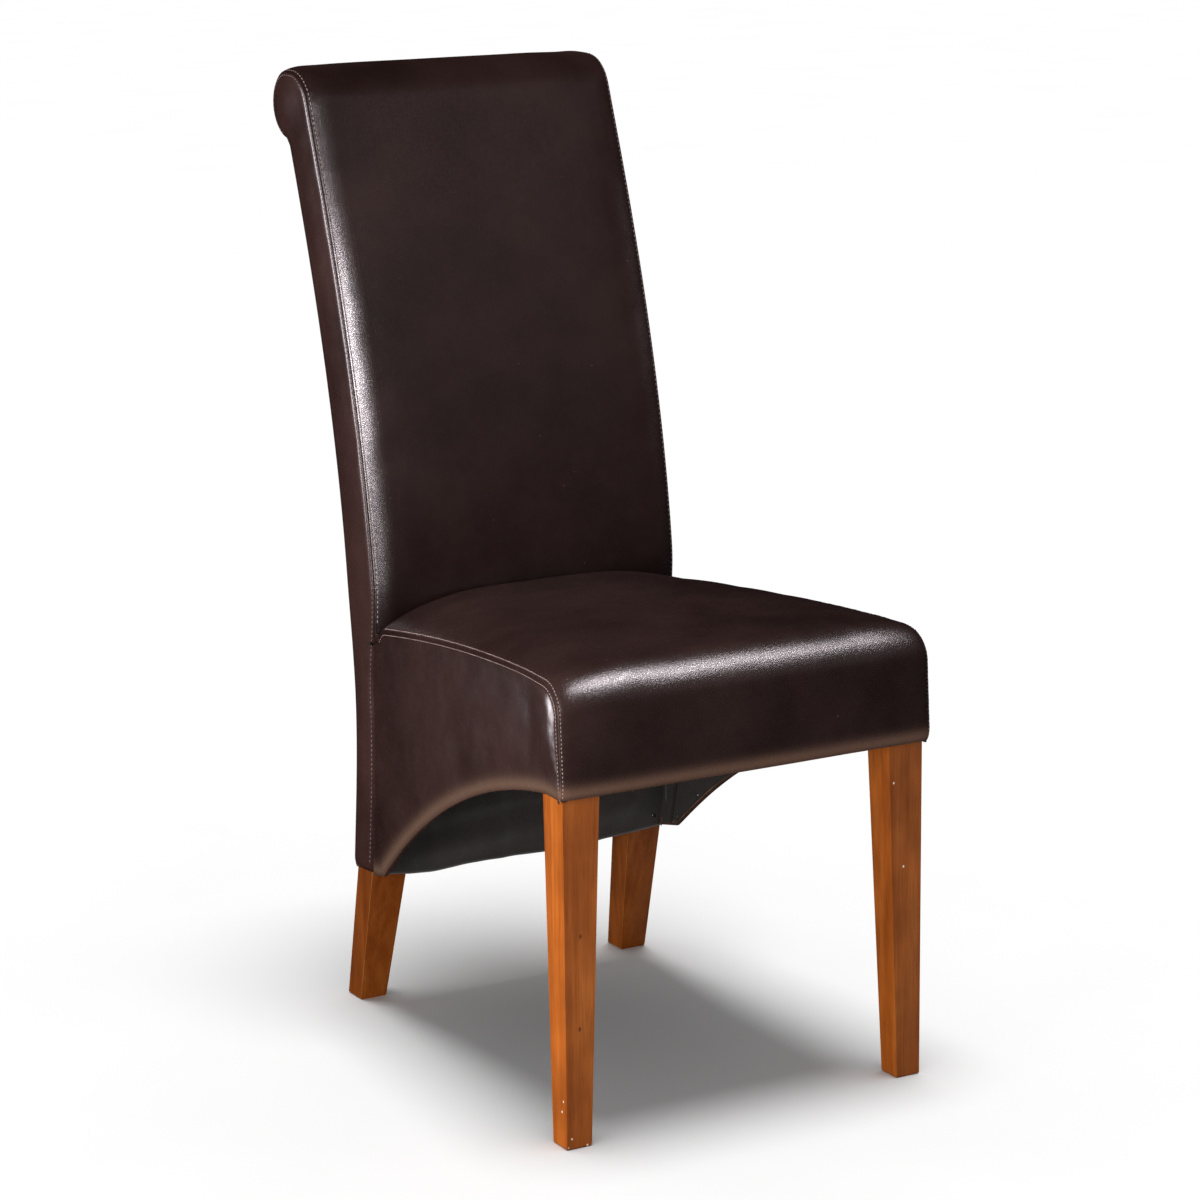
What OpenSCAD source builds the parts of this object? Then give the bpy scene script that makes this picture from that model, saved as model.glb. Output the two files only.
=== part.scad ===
// Upholstered dining chair with a scrolled back and arched side skirts.
// The chair faces -Y and stands on z = 0. Left is -X, as seen from the front.

/* [Overall] */
// Height from the floor to the top of the roll
overall_h = 1070; // [1040:1:1110]
// Depth from the front of the seat to the back of the roll
overall_d = 714; // [704:1:730]

/* [Seat] */
// Width over the side covers at the front of the seat
seat_front_w = 456; // [444:1:480]
// Width over the side covers where they meet the back strips
seat_rear_w = 396; // [394:1:404]
// Height of the side seams at the front of the seat
seat_seam_h = 499; // [490:1:510]
// Fall of the side seams from front to rear
seat_fall = 40; // [30:1:42]
// Rise of the seat's middle over its side seams at the front
crown_front = 10; // [4:0.5:16]
// Rise of the seat's middle over its side seams at the rear
crown_rear = 29; // [10:0.5:32]
// Radius of the seat's front edge at the side seams
seat_edge_r = 25; // [15:1:30]
// Radius of the seat's front edge in the middle
seat_mid_edge_r = 33; // [20:1:36]
// How far the padded front stands before the front legs
front_proud = 12; // [11:0.5:16]
// How far the front of the seat leans out from its top edge to its lower edge
front_lean = 5; // [0:0.5:6]
// Height of the covers' lower edge at the front
cover_bottom = 378; // [372:1:384]

/* [Skirts] */
// Distance from the front legs' faces to the start of the arch
arch_start = 31; // [25:1:60]
// Distance from the front legs' faces to the rear foot of the arch
arch_end = 464; // [440:1:470]
// Height of the arch's rear foot
arch_end_h = 171; // [169:1:190]
// How far the arch bows up from a straight line
arch_rise = 36; // [20:1:44]
// Height of the rear skirt's hem
hem_h = 165; // [160:1:168]
// Thickness of the arched skirt boards
skirt_panel_t = 3; // [2:0.25:3]

/* [Back] */
// Width over the leather side strips of the back
back_w = 387; // [383:1:390]
// Thickness of the padded back from front to rear
back_t = 74; // [70:1:78]
// Thickness of the skirt's side strips below the seat
skirt_strip_t = 50; // [48:1:52]
// Height at which the back leaves the seat
lumbar_h = 510; // [505:1:520]
// Lean of the back just above the seat, in degrees
rake_low = 6; // [4:0.5:9]
// Lean of the back under the roll, in degrees
rake_high = 20; // [16:0.5:24]
// Radius of the roll at its rear
roll_r = 42; // [40:0.5:44]
// Radius over which the front of the back turns into the roll
roll_front_r = 50; // [46:0.5:52]
// Depth of the crease below the roll
neck_drop = 7; // [5:0.5:10]
// Crown of the back's front across its width
back_crown = 3; // [1:0.5:4]
// Bulge of the round ends of the roll
roll_end_bulge = 4; // [2:0.5:6]

/* [Leather and padding] */
// Thickness of the leather
leather_t = 1.5; // [1:0.1:1.6]
// Thickness of the wadding behind the middle of each side cover
side_pad_t = 1.5; // [0.5:0.1:1.5]
// Thickness of the linings and of the dust cover
cloth_t = 0.8; // [0.5:0.1:1]
// Thickness of the webbing straps
strap_t = 1.5; // [1:0.1:2]
// Width of the webbing straps
strap_w = 50; // [40:1:55]
// Thickness of the foam that wraps the posts' heads, with its gap
head_pad_t = 5; // [3:0.5:6]
// Thickness of the board behind the posts
back_board_t = 3; // [2:0.1:3]
// Distance from the board's sides to the posts' outer faces
back_board_gap = 5; // [1:0.5:8]

/* [Front legs] */
// Gap between the front legs' outer faces and the side covers at the legs' rear
front_leg_gap = 1.375; // [0.5:0.125:4]
// Width of a front leg at the rails, across the chair
front_leg_w = 43; // [40:0.5:46]
// Depth of a front leg at the rails, front to rear
front_leg_d = 41; // [38:0.5:44]
// Side of a front leg's square foot
front_foot = 29.5; // [26:0.5:32]

/* [Rear legs] */
// Width of a rear leg below the seat
rear_leg_w = 44; // [40:0.5:46]
// Width of the posts inside the back
post_w = 30; // [28:0.5:34]
// Depth of the posts inside the back
post_d = 38; // [34:0.5:40]
// Distance from the front legs' faces to the front of the posts at the seat
post_front = 487; // [485:0.5:489]
// Width of a rear foot
rear_foot_w = 33; // [30:0.5:38]
// Depth of a rear foot
rear_foot_d = 32; // [28:0.5:34]
// Rake of the rear feet, in degrees
foot_rake = 13.5; // [10:0.5:15]
// Chamfer round the bottom of each foot
foot_chamfer = 1.5; // [0.5:0.5:3]

/* [Seat frame] */
// Thickness of the seat rails
rail_t = 20; // [18:0.5:22]
// Height of the seat rails
rail_h = 50; // [46:1:50]
// Height of the corner blocks
block_h = 40; // [36:1:42]
// Distance along the diagonal from the front leg to the face of its block
block_reach = 31; // [28:0.5:36]
// Length of a rear corner block along each rail
rear_block_len = 70; // [64:1:76]
// Length of the tenons
tenon_len = 18; // [12:0.5:18]
// Thickness of the tenons
tenon_t = 10; // [8:0.5:11]
// Shoulder above and below each tenon
tenon_shoulder = 8; // [6:0.5:10]

/* [Back frame] */
// Thickness of the cross rails in the back
cross_rail_t = 20; // [18:0.5:22]
// Height of the cross rails in the back
cross_rail_h = 50; // [44:1:50]
// Height of the rail at the foot of the skirt
skirt_rail_h = 22; // [18:1:26]
// Depth of the rail at the foot of the skirt
skirt_rail_d = 26; // [20:1:28]
// Diameter of the turned bar in the roll
roll_bar_d = 44; // [36:1:48]
// Diameter of the bar's round tenons
roll_tenon_d = 22; // [18:1:26]

/* [Fastenings] */
// Diameter of the leg bolts
bolt_d = 8; // [6:1:8]
// Depth of a leg bolt in its leg
bolt_depth = 27; // [20:1:28]
// Diameter of the washers
washer_d = 20; // [16:1:20]
// Thickness of the washers
washer_t = 1.6; // [1:0.1:2]
// Distance across the flats of the nuts
nut_af = 13; // [10:1:13]
// Height of the nuts
nut_h = 6.5; // [5:0.5:7]
// Diameter of the block screws
screw_d = 4.5; // [4:0.5:5]
// Length of a block screw in its rail
screw_grip = 14; // [10:1:15]
// Diameter of the screw heads
screw_head_d = 8.5; // [7:0.5:9]

/* [Fits] */
// Gap between a cover and what it lies on
cover_gap = 0.3; // [0.2:0.05:0.4]
// Gap between wooden pieces that meet
joint_gap = 0.2; // [0.1:0.05:0.3]
// Radial gap round bolts and screws in their holes
hole_gap = 0.1; // [0.05:0.05:0.2]

/* [Hidden] */

// Colours
leather_c = [0.19, 0.13, 0.12];
side_leather_c = [0.22, 0.14, 0.13];
leg_c = [0.72, 0.42, 0.15];
frame_wood_c = [0.80, 0.68, 0.48];
board_c = [0.62, 0.47, 0.32];
foam_c = [0.93, 0.88, 0.68];
cloth_c = [0.10, 0.10, 0.10];
strap_c = [0.75, 0.70, 0.60];
steel_c = [0.65, 0.66, 0.68];

// The origin lies under the middle of the chair's length
y_mid = overall_d / 2 - front_proud;
module placed() translate([0, -y_mid, 0]) children();

// Smooth curves between heights: y over z, with the slope given at each end
function hermite(a, b, slope_a, slope_b, z) =
    let (len = b[0] - a[0], t = (z - a[0]) / len)
    (2 * t ^ 3 - 3 * t ^ 2 + 1) * a[1] + (3 * t ^ 2 - 2 * t ^ 3) * b[1]
    + len * ((t ^ 3 - 2 * t ^ 2 + t) * slope_a + (t ^ 3 - t ^ 2) * slope_b);
function smooth(t) = t <= 0 ? 0 : t >= 1 ? 1 : t * t * (3 - 2 * t);
function mix(a, b, t) = a + (b - a) * t;
function arc(centre, r, from, to, n) =
    [for (i = [0:n]) let (a = mix(from, to, i / n)) centre + r * [cos(a), sin(a)]];
function heights(from, to, n) = [for (i = [0:n]) mix(from, to, i / n)];

// Rear line of the back: hem, waist behind the seat, lumbar and neck
roll_top_h = overall_h - 1;
roll_y = overall_d - front_proud - roll_r;
roll_z = roll_top_h - roll_r;
neck = [roll_z - roll_r - neck_drop, roll_y];
lumbar_d = 56; // from the posts' fronts to the rear of the back, here and at the hem
waist_d = 41.5;
waist_drop = 28;
lumbar = [lumbar_h, post_front + lumbar_d];
waist = [cover_bottom - waist_drop, post_front + waist_d];
hem = [hem_h, post_front + lumbar_d];
hem_slope = -0.11;
function rear_line(z) =
    z < waist[0] ? hermite(hem, waist, hem_slope, 0, z)
    : z < lumbar[0] ? hermite(waist, lumbar, 0, tan(rake_low), z)
    : z < neck[0] ? hermite(lumbar, neck, tan(rake_low), tan(rake_high), z)
    : neck[1] + (z - neck[0]) * tan(rake_high);

// The posts' heads and the roll's foam start here; the back's foam and cover end below here
head_overlap = 10;
head_from = neck[0] - head_overlap;
rail_lift = 2;
rail_bottom = cover_bottom + rail_lift;
rail_top = rail_bottom + rail_h;
back_low_gap = 10;
back_low = rail_top + back_low_gap;

// The back thickens above the skirt's narrow side strips
thicken_drop = 8;
thicken_from = cover_bottom - thicken_drop;
function thickness(z) =
    mix(skirt_strip_t, back_t, smooth((z - thicken_from) / (lumbar_h - thicken_from)));
function front_line(z) = rear_line(z) - thickness(z);

// The front line runs into an arc over the roll
roll_front_z = roll_top_h - roll_front_r;
tangent_z = roll_front_z + roll_front_r * sin(rake_high);
roll_front_y = front_line(tangent_z) + roll_front_r * cos(rake_high);
roll_end_angle = -78;

// Points from the neck over the roll and down the front, set in by a distance
function roll_points(inset) = concat(
    arc([roll_y, roll_z], roll_r - inset, roll_end_angle, 90, 12),
    arc([roll_front_y, roll_front_z], roll_front_r - inset, 90, 180 - rake_high, 6));
// Heights down the back's front, from the roll's foam and from the posts' heads
row_pitch = 20;
roll_heights = heights(tangent_z - row_pitch / 3, head_from + 0.6 * row_pitch, 2);
back_heights = concat(
    heights(head_from - cover_gap, lumbar_h + 3 * row_pitch, 9),
    heights(lumbar_h + 2 * row_pitch, back_low, 7));
function front_points(inset, rows) = [for (z = rows) [front_line(z) + inset, z]];
function rear_points(inset, low, high, n) =
    [for (z = heights(low, high, n)) [rear_line(z) - inset, z]];
function back_outline(inset, low) = concat(
    roll_points(inset),
    front_points(inset, concat(roll_heights, back_heights, heights(back_low - row_pitch / 2, low, 16))),
    rear_points(inset, low, neck[0], 28));

// A strip that follows a line up the chair: outline in y and z, swept across x
module across(half) rotate([90, 0, 90]) translate([0, 0, -half]) linear_extrude(2 * half) children();
function strip(near, far, n) = concat(
    [for (i = [0:n]) near[i]], [for (i = [n:-1:0]) far[i]]);

// Sides of the seat: a plane on each side that closes in towards the rear
side_end_gap = 8;
side_len = post_front - side_end_gap;
side_slope = (seat_front_w - seat_rear_w) / 2 / side_len;
side_angle = atan(side_slope);
function side_x(y, depth) = seat_front_w / 2 - side_slope * y - depth / cos(side_angle);
// Local x runs inwards from the left side's plane, local y to the rear
module on_side() translate([-seat_front_w / 2, 0, 0]) rotate([0, 0, -side_angle]) children();
// Layers of each side, as depths below its plane
side_edge = side_pad_t;
cover_inner = side_edge + leather_t + cover_gap;
side_inner = cover_inner + cover_gap;
panel_inner = side_inner + skirt_panel_t;
rail_inner = panel_inner + rail_t;

// A sheet or block between two grids of points
module skin(outer, inner) {
    rows = len(outer);
    cols = len(outer[0]);
    count = rows * cols;
    points = concat([for (row = outer) for (p = row) p], [for (row = inner) for (p = row) p]);
    function at(i, j) = i * cols + j;
    function quad(a, b, c, d) = [[a, b, c], [a, c, d]];
    function wall(a, b) = quad(b, a, a + count, b + count);
    faces = concat(
        [for (i = [0:rows - 2]) for (j = [0:cols - 2])
            each quad(at(i, j), at(i, j + 1), at(i + 1, j + 1), at(i + 1, j))],
        [for (i = [0:rows - 2]) for (j = [0:cols - 2])
            each [[at(i, j), at(i + 1, j + 1), at(i, j + 1)] + [count, count, count],
                  [at(i, j), at(i + 1, j), at(i + 1, j + 1)] + [count, count, count]]],
        [for (j = [0:cols - 2]) each wall(at(0, j), at(0, j + 1))],
        [for (j = [0:cols - 2]) each wall(at(rows - 1, j + 1), at(rows - 1, j))],
        [for (i = [0:rows - 2]) each wall(at(i + 1, 0), at(i, 0))],
        [for (i = [0:rows - 2]) each wall(at(i, cols - 1), at(i + 1, cols - 1))]);
    polyhedron(points, faces);
}

// Columns across a cushion, closer together towards its edges
seat_half_cols = 8;
back_half_cols = 5;
function across_share(j, half_cols) =
    let (t = j / half_cols - 1) sign(t) * (1 - (1 - abs(t)) ^ 1.6);

// Lines over the seat from rear to front: along a side seam and along the middle
seat_rear_y = min([for (z = heights(rail_top, lumbar_h, 16)) front_line(z)])
    - back_crown - 2 * cover_gap;
seam_set_back = 1.5;
seam_front_y = -front_proud + seam_set_back + front_lean;
mid_front_y = -front_proud + front_lean / 2;
top_rows = 8;
edge_rows = 6;
face_rows = 3;
function seat_line(rear_z, front_z, rear_slope, r, front_y, bottom_y, bottom_z, inset) =
    let (arc_y = front_y + r, arc_z = front_z - r)
    concat(
        [for (i = [0:top_rows]) let (y = mix(seat_rear_y, arc_y, i / top_rows))
            [y, hermite([arc_y, front_z], [seat_rear_y, rear_z], 0, rear_slope, y) - inset]],
        [for (a = [1:edge_rows]) let (t = 90 + 90 * a / edge_rows)
            [arc_y, arc_z] + (r - inset) * [cos(t), sin(t)]],
        [for (i = [1:face_rows]) let (z = mix(arc_z, bottom_z, i / face_rows))
            [mix(front_y, bottom_y, (arc_z - z) / (arc_z - cover_bottom)) + inset, z]]);
function seam_line(bottom_z, inset) = seat_line(
    seat_seam_h - seat_fall, seat_seam_h, -0.17, seat_edge_r,
    seam_front_y, seam_set_back - front_proud, bottom_z, inset);
function mid_line(bottom_z, inset) = seat_line(
    seat_seam_h - seat_fall + crown_rear, seat_seam_h + crown_front, -0.13, seat_mid_edge_r,
    mid_front_y, -front_proud, bottom_z, inset);
// The crown is even at the rear and fuller towards the front corners
function crown_power(y) = mix(7, 3, smooth(y / side_len));
function seat_grid(seam, middle, depth) =
    [for (i = [0:len(seam) - 1]) [for (j = [0:2 * seat_half_cols])
        let (s = across_share(j, seat_half_cols), k = 1 - abs(s) ^ crown_power(seam[i][0]),
             p = mix(seam[i], middle[i], k))
        [s * side_x(p[0], depth), p[0], p[1]]]];

// Posts of the back and rear legs
post_outer = back_w / 2 - leather_t - 2 * cover_gap;
post_inset = leather_t + back_board_t + 2 * cover_gap;
knee_h = 226;
post_rise = 10;
post_step = 30;
post_straight_top = rail_top + post_rise;
post_join_rise = 50;
post_join = lumbar_h + post_join_rise;
post_narrow_from = post_straight_top + 2 * joint_gap;
post_narrow_to = post_narrow_from + post_step;
foot_front_y = post_front + knee_h * tan(foot_rake);
function post_rear_line(z) =
    z < hem[0] ? mix(foot_front_y + rear_foot_d, rear_line(hem[0]) - post_inset, z / hem[0])
    : rear_line(z) - post_inset;
function post_front_line(z) =
    z < knee_h ? mix(foot_front_y, post_front, z / knee_h)
    : z < post_straight_top ? post_front
    : z < post_join ? hermite([post_straight_top, post_front],
        [post_join, rear_line(post_join) - post_inset - post_d], 0, tan(rake_low), z)
    : rear_line(z) - post_inset - post_d;
// A point in the post's middle and the post's lean there
function post_middle(z) = [(post_front_line(z) + post_rear_line(z)) / 2, z];
function post_lean(z) = atan((rear_line(z + 5) - rear_line(z - 5)) / 10);

function post_heights() = concat(
    [0], heights(hem[0], knee_h, 3), heights(knee_h + row_pitch, post_straight_top, 6),
    heights(post_straight_top + row_pitch, post_join, 6),
    heights(post_join + row_pitch, head_from, 13));
head_inset = leather_t + cover_gap + head_pad_t;
module post_outline() {
    z = post_heights();
    n = len(z) - 1;
    polygon(concat(
        roll_points(head_inset),
        front_points(head_inset, concat(roll_heights, [head_from])),
        [for (i = [n:-1:0]) [post_front_line(z[i]), z[i]]],
        [for (i = [0:n]) [post_rear_line(z[i]), z[i]]],
        rear_points(head_inset, head_from, neck[0], 1)));
}
// Width of the right-hand leg and post, seen from the front
module post_front_shape() {
    inner_low = post_outer - rear_leg_w;
    inner_high = post_outer - post_w;
    polygon([
        [post_outer - foot_chamfer, 0], [post_outer, foot_chamfer],
        [post_outer, overall_h], [inner_high, overall_h],
        [inner_high, post_narrow_to], [inner_low, post_narrow_from],
        [inner_low, hem[0]],
        [post_outer - rear_foot_w, foot_chamfer], [post_outer - rear_foot_w + foot_chamfer, 0]
    ]);
}

// A board's tenon along x and the mortise that takes it
module tenon(height, gap, thick) {
    translate([-gap, -thick / 2 - gap, tenon_shoulder - gap])
        cube([tenon_len + 2 * gap, thick + 2 * gap, height - 2 * tenon_shoulder + 2 * gap]);
}

// Cross rails of the back, by their middle height
cross_rail_gap = 4;
cross_rail_z = [
    post_narrow_to + cross_rail_h / 2 + cross_rail_gap,
    (lumbar_h + neck[0]) / 2,
    head_from - cross_rail_h / 2 - cross_rail_gap
];
cross_half = post_outer - post_w - joint_gap;
module at_post_middle(z) translate([0, post_middle(z)[0], z]) rotate([-post_lean(z), 0, 0]) children();
module cross_tenons(z, gap) {
    for (side = [0, 1]) mirror([side, 0, 0]) at_post_middle(z)
        translate([cross_half, 0, -cross_rail_h / 2]) tenon(cross_rail_h, gap, tenon_t);
}

rear_rail_half = post_outer - rear_leg_w - joint_gap;
rear_rail_y = post_front;
module rear_rail_tenons(gap) {
    for (side = [0, 1]) mirror([side, 0, 0])
        translate([rear_rail_half, rear_rail_y + rail_t / 2, rail_bottom])
            tenon(rail_h, gap, tenon_t);
}
skirt_rail_z = hem_h + leather_t + 2 * cover_gap;
skirt_rail_y = (post_front_line(skirt_rail_z) + post_rear_line(skirt_rail_z + skirt_rail_h)) / 2;
module skirt_rail_tenons(gap) {
    high = skirt_rail_h / 2 + 2 * gap;
    for (side = [-1, 1]) translate([side * (rear_rail_half + tenon_len / 2 + gap / 2),
            skirt_rail_y, skirt_rail_z + skirt_rail_h / 2])
        cube([tenon_len + gap, tenon_t + 2 * gap, high], center = true);
}
side_tenon_x = post_outer - panel_inner + side_inner - rail_t / 2;
module side_rail_tenon(gap) {
    translate([-side_tenon_x, post_front - 2 * joint_gap, rail_bottom]) rotate([0, 0, 90])
        tenon(rail_h, gap, tenon_t);
}
// Turned bar of the roll, a little before and below the roll's middle
roll_bar_y = roll_y - neck_drop / 2;
roll_bar_z = roll_z - neck_drop / 2;
module roll_bar_tenons(gap) {
    for (side = [0, 1]) mirror([side, 0, 0])
        translate([cross_half, roll_bar_y, roll_bar_z]) rotate([0, 90, 0])
            cylinder(d = roll_tenon_d + 2 * gap, h = tenon_len + gap, $fn = 64);
}

// Front legs
leg_outer = side_x(front_leg_d, cover_inner) - front_leg_gap;
leg_inner = leg_outer - front_leg_w;
front_rail_y = 3; // behind the legs' faces
module front_leg_bolt_line() {
    translate([leg_inner, front_leg_d, rail_bottom + rail_h / 2]) rotate([0, 90, 135]) children();
}
module front_leg(side) color(leg_c) placed() mirror([side, 0, 0]) difference() {
    intersection() {
        rotate([90, 0, 0]) translate([0, 0, -front_leg_d]) linear_extrude(front_leg_d) polygon([
            [leg_outer - foot_chamfer, 0], [leg_outer, foot_chamfer], [leg_outer, rail_top],
            [leg_inner, rail_top], [leg_inner, cover_bottom],
            [leg_outer - front_foot, foot_chamfer], [leg_outer - front_foot + foot_chamfer, 0]
        ]);
        rotate([90, 0, 90]) linear_extrude(leg_outer) polygon([
            [foot_chamfer, 0], [front_foot - foot_chamfer, 0], [front_foot, foot_chamfer],
            [front_leg_d, cover_bottom], [front_leg_d, rail_top], [0, rail_top], [0, foot_chamfer]
        ]);
    }
    front_leg_bolt_line() translate([0, 0, -bolt_depth - joint_gap])
        cylinder(d = bolt_d + 2 * hole_gap, h = 2 * bolt_depth, $fn = 48);
}

module rear_leg(side) color(leg_c) placed() mirror([side, 0, 0]) difference() {
    intersection() {
        rotate([90, 0, 90]) linear_extrude(post_outer) post_outline();
        rotate([90, 0, 0]) translate([0, 0, -overall_d]) linear_extrude(overall_d) post_front_shape();
    }
    for (z = cross_rail_z) cross_tenons(z, joint_gap);
    rear_rail_tenons(joint_gap);
    skirt_rail_tenons(joint_gap);
    mirror([1, 0, 0]) side_rail_tenon(joint_gap);
    roll_bar_tenons(hole_gap);
}

// Corner blocks and their fastenings
block_z = rail_bottom + (rail_h - block_h) / 2;
screw_z = rail_bottom + rail_h / 2;
screw_seat = 10;
screw_head_h = 2.5;
screw_head_gap = 0.5;
front_block_y = front_rail_y + rail_t + joint_gap;
// The front block's long face is square to the bolt: x - y is constant on it
front_block_sum = leg_inner - front_leg_d - block_reach * sqrt(2);
function block_side_x(y) = side_x(y, rail_inner + joint_gap);
front_block_side_y = (block_side_x(0) - front_block_sum) / (1 + side_slope);
// The screws' distances from the ends of the front blocks and from the posts
front_screw_in = 16;
side_screw_in = 20;
front_screw_x = front_block_sum + front_block_y + front_screw_in;
front_screw_y = front_block_side_y - side_screw_in;
rear_block_y = post_front - 2 * joint_gap;
rear_block_side_y = rear_block_y - rear_block_len;
rear_screw_x = rear_rail_half - side_screw_in;
rear_screw_y = rear_block_y - rear_block_len / 2;

// A screw that points along +z from the face of its rail
module screw(gap, head_gap, tail) {
    translate([0, 0, -screw_seat - gap])
        cylinder(d = screw_d + 2 * gap, h = screw_seat + screw_grip + 2 * gap, $fn = 32);
    translate([0, 0, -screw_seat - screw_head_h - tail])
        cylinder(d = screw_head_d + 2 * head_gap, h = screw_head_h + tail, $fn = 32);
}
module front_screws(gap, head_gap, tail) {
    translate([front_screw_x, front_rail_y + rail_t, screw_z]) rotate([90, 0, 0])
        screw(gap, head_gap, tail);
    translate([side_x(front_screw_y, rail_inner), front_screw_y, screw_z]) rotate([0, 90, 0])
        screw(gap, head_gap, tail);
}
module rear_screws(gap, head_gap, tail) {
    translate([rear_screw_x, post_front, screw_z]) rotate([-90, 0, 0])
        screw(gap, head_gap, tail);
    translate([side_x(rear_screw_y, rail_inner), rear_screw_y, screw_z]) rotate([0, 90, 0])
        screw(gap, head_gap, tail);
}
notch = 4; // keeps the front blocks clear of the legs' corners
module front_block(side) color(frame_wood_c) placed() mirror([side, 0, 0]) difference() {
    translate([0, 0, block_z]) linear_extrude(block_h) polygon([
        [leg_inner - notch, front_block_y],
        [front_block_sum + front_block_y, front_block_y],
        [block_side_x(front_block_side_y), front_block_side_y],
        [block_side_x(front_leg_d + notch), front_leg_d + notch],
        [leg_inner - notch, front_leg_d + notch]
    ]);
    front_leg_bolt_line() cylinder(d = bolt_d + 10 * hole_gap, h = 2 * block_reach, $fn = 48);
    front_screws(hole_gap, screw_head_gap, block_reach);
}
module rear_block(side) color(frame_wood_c) placed() mirror([side, 0, 0]) difference() {
    translate([0, 0, block_z]) linear_extrude(block_h) polygon([
        [block_side_x(rear_block_y), rear_block_y],
        [block_side_x(rear_block_side_y), rear_block_side_y],
        [block_side_x(rear_block_y) - rear_block_len, rear_block_y]
    ]);
    rear_screws(hole_gap, screw_head_gap, rear_block_len);
}
module corner_screws() color(steel_c) placed()
    for (side = [0, 1]) mirror([side, 0, 0]) {
        front_screws(0, 0, 0);
        rear_screws(0, 0, 0);
    }
bolt_end = 2; // past the nut
module leg_bolts() color(steel_c) placed()
    for (side = [0, 1]) mirror([side, 0, 0]) front_leg_bolt_line()
        translate([0, 0, -bolt_depth])
            cylinder(d = bolt_d, h = bolt_depth + block_reach + washer_t + nut_h + bolt_end, $fn = 48);
module leg_washers() color(steel_c) placed()
    for (side = [0, 1]) mirror([side, 0, 0]) front_leg_bolt_line()
        translate([0, 0, block_reach]) difference() {
            cylinder(d = washer_d, h = washer_t, $fn = 48);
            translate([0, 0, -1]) cylinder(d = bolt_d + 2 * hole_gap, h = washer_t + 2, $fn = 48);
        }
module leg_nuts() color(steel_c) placed()
    for (side = [0, 1]) mirror([side, 0, 0]) front_leg_bolt_line()
        translate([0, 0, block_reach + washer_t]) difference() {
            cylinder(d = nut_af / cos(30), h = nut_h, $fn = 6);
            translate([0, 0, -1]) cylinder(d = bolt_d + 2 * hole_gap, h = nut_h + 2, $fn = 48);
        }

// Seat frame
module front_rail() color(frame_wood_c) placed() difference() {
    half = leg_inner - joint_gap;
    translate([-half, front_rail_y, rail_bottom]) cube([2 * half, rail_t, rail_h]);
    for (side = [0, 1]) mirror([side, 0, 0]) front_screws(hole_gap, 0, 0);
}
module rear_rail() color(frame_wood_c) placed() difference() {
    union() {
        translate([-rear_rail_half, rear_rail_y, rail_bottom])
            cube([2 * rear_rail_half, rail_t, rail_h]);
        rear_rail_tenons(0);
    }
    for (side = [0, 1]) mirror([side, 0, 0]) rear_screws(hole_gap, 0, 0);
}
module side_rail(side) color(frame_wood_c) placed() mirror([side, 0, 0]) difference() {
    union() {
        intersection() {
            on_side() translate([panel_inner, -rail_h, rail_bottom]) cube([rail_t, overall_d, rail_h]);
            translate([-seat_front_w, front_leg_d + joint_gap, 0])
                cube([seat_front_w, post_front - front_leg_d - 2 * joint_gap, overall_h]);
        }
        side_rail_tenon(0);
    }
    mirror([1, 0, 0]) front_screws(hole_gap, 0, 0);
    mirror([1, 0, 0]) rear_screws(hole_gap, 0, 0);
}

// Back frame
module cross_rail(z) color(frame_wood_c) placed() {
    at_post_middle(z) cube([2 * cross_half, cross_rail_t, cross_rail_h], center = true);
    cross_tenons(z, 0);
}
module skirt_rail() color(frame_wood_c) placed() {
    translate([0, skirt_rail_y, skirt_rail_z + skirt_rail_h / 2])
        cube([2 * rear_rail_half, skirt_rail_d, skirt_rail_h], center = true);
    skirt_rail_tenons(0);
}
module roll_rail() color(frame_wood_c) placed() {
    translate([-cross_half, roll_bar_y, roll_bar_z]) rotate([0, 90, 0])
        cylinder(d = roll_bar_d, h = 2 * cross_half, $fn = 96);
    roll_bar_tenons(0);
}

// Arched sides: the arch's curve from the front to its rear foot
arch_from = [arch_start, cover_bottom];
arch_to = [arch_end, arch_end_h];
arch_chord = norm(arch_to - arch_from);
arch_r = arch_chord ^ 2 / (8 * arch_rise) + arch_rise / 2;
arch_mid = (arch_from + arch_to) / 2;
arch_normal = [arch_from[1] - arch_to[1], arch_to[0] - arch_from[0]] / arch_chord;
arch_centre = arch_mid - arch_normal * (arch_r - arch_rise);
function arch_z(y) =
    y < arch_from[0] ? cover_bottom
    : y > arch_to[0] ? mix(arch_end_h, hem_h, (y - arch_end) / (front_line(hem_h) - arch_end))
    : arch_centre[1] + sqrt(arch_r ^ 2 - (y - arch_centre[0]) ^ 2);
// Outline of a board behind the side cover, kept clear of the arch's edge
function arched(front, rear, top, margin) = concat(
    [for (i = [0:20]) let (y = mix(front, rear, i / 20)) [y, arch_z(y) + margin]],
    [for (z = heights(waist[0], top, 6)) [min(rear, front_line(z) - margin - skirt_gap), z]],
    [[front, top]]);
skirt_gap = 1;
panel_front = front_leg_d + 2 * skirt_gap;
panel_rear = front_line(waist[0]) - 2 * skirt_gap;
lining_front = 2 * front_leg_d; // the side linings stop short of the front legs
module skirt_panel(side) color(board_c) placed() mirror([side, 0, 0]) on_side()
    translate([side_inner, 0, 0]) rotate([90, 0, 90]) linear_extrude(skirt_panel_t)
        polygon(arched(panel_front, panel_rear, rail_top, skirt_gap));
module side_lining(side) color(cloth_c) placed() mirror([side, 0, 0]) on_side()
    translate([panel_inner, 0, 0]) rotate([90, 0, 90]) linear_extrude(cloth_t)
        polygon(arched(lining_front, panel_rear - 2 * skirt_gap, lining_top, 3 * skirt_gap));

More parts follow.
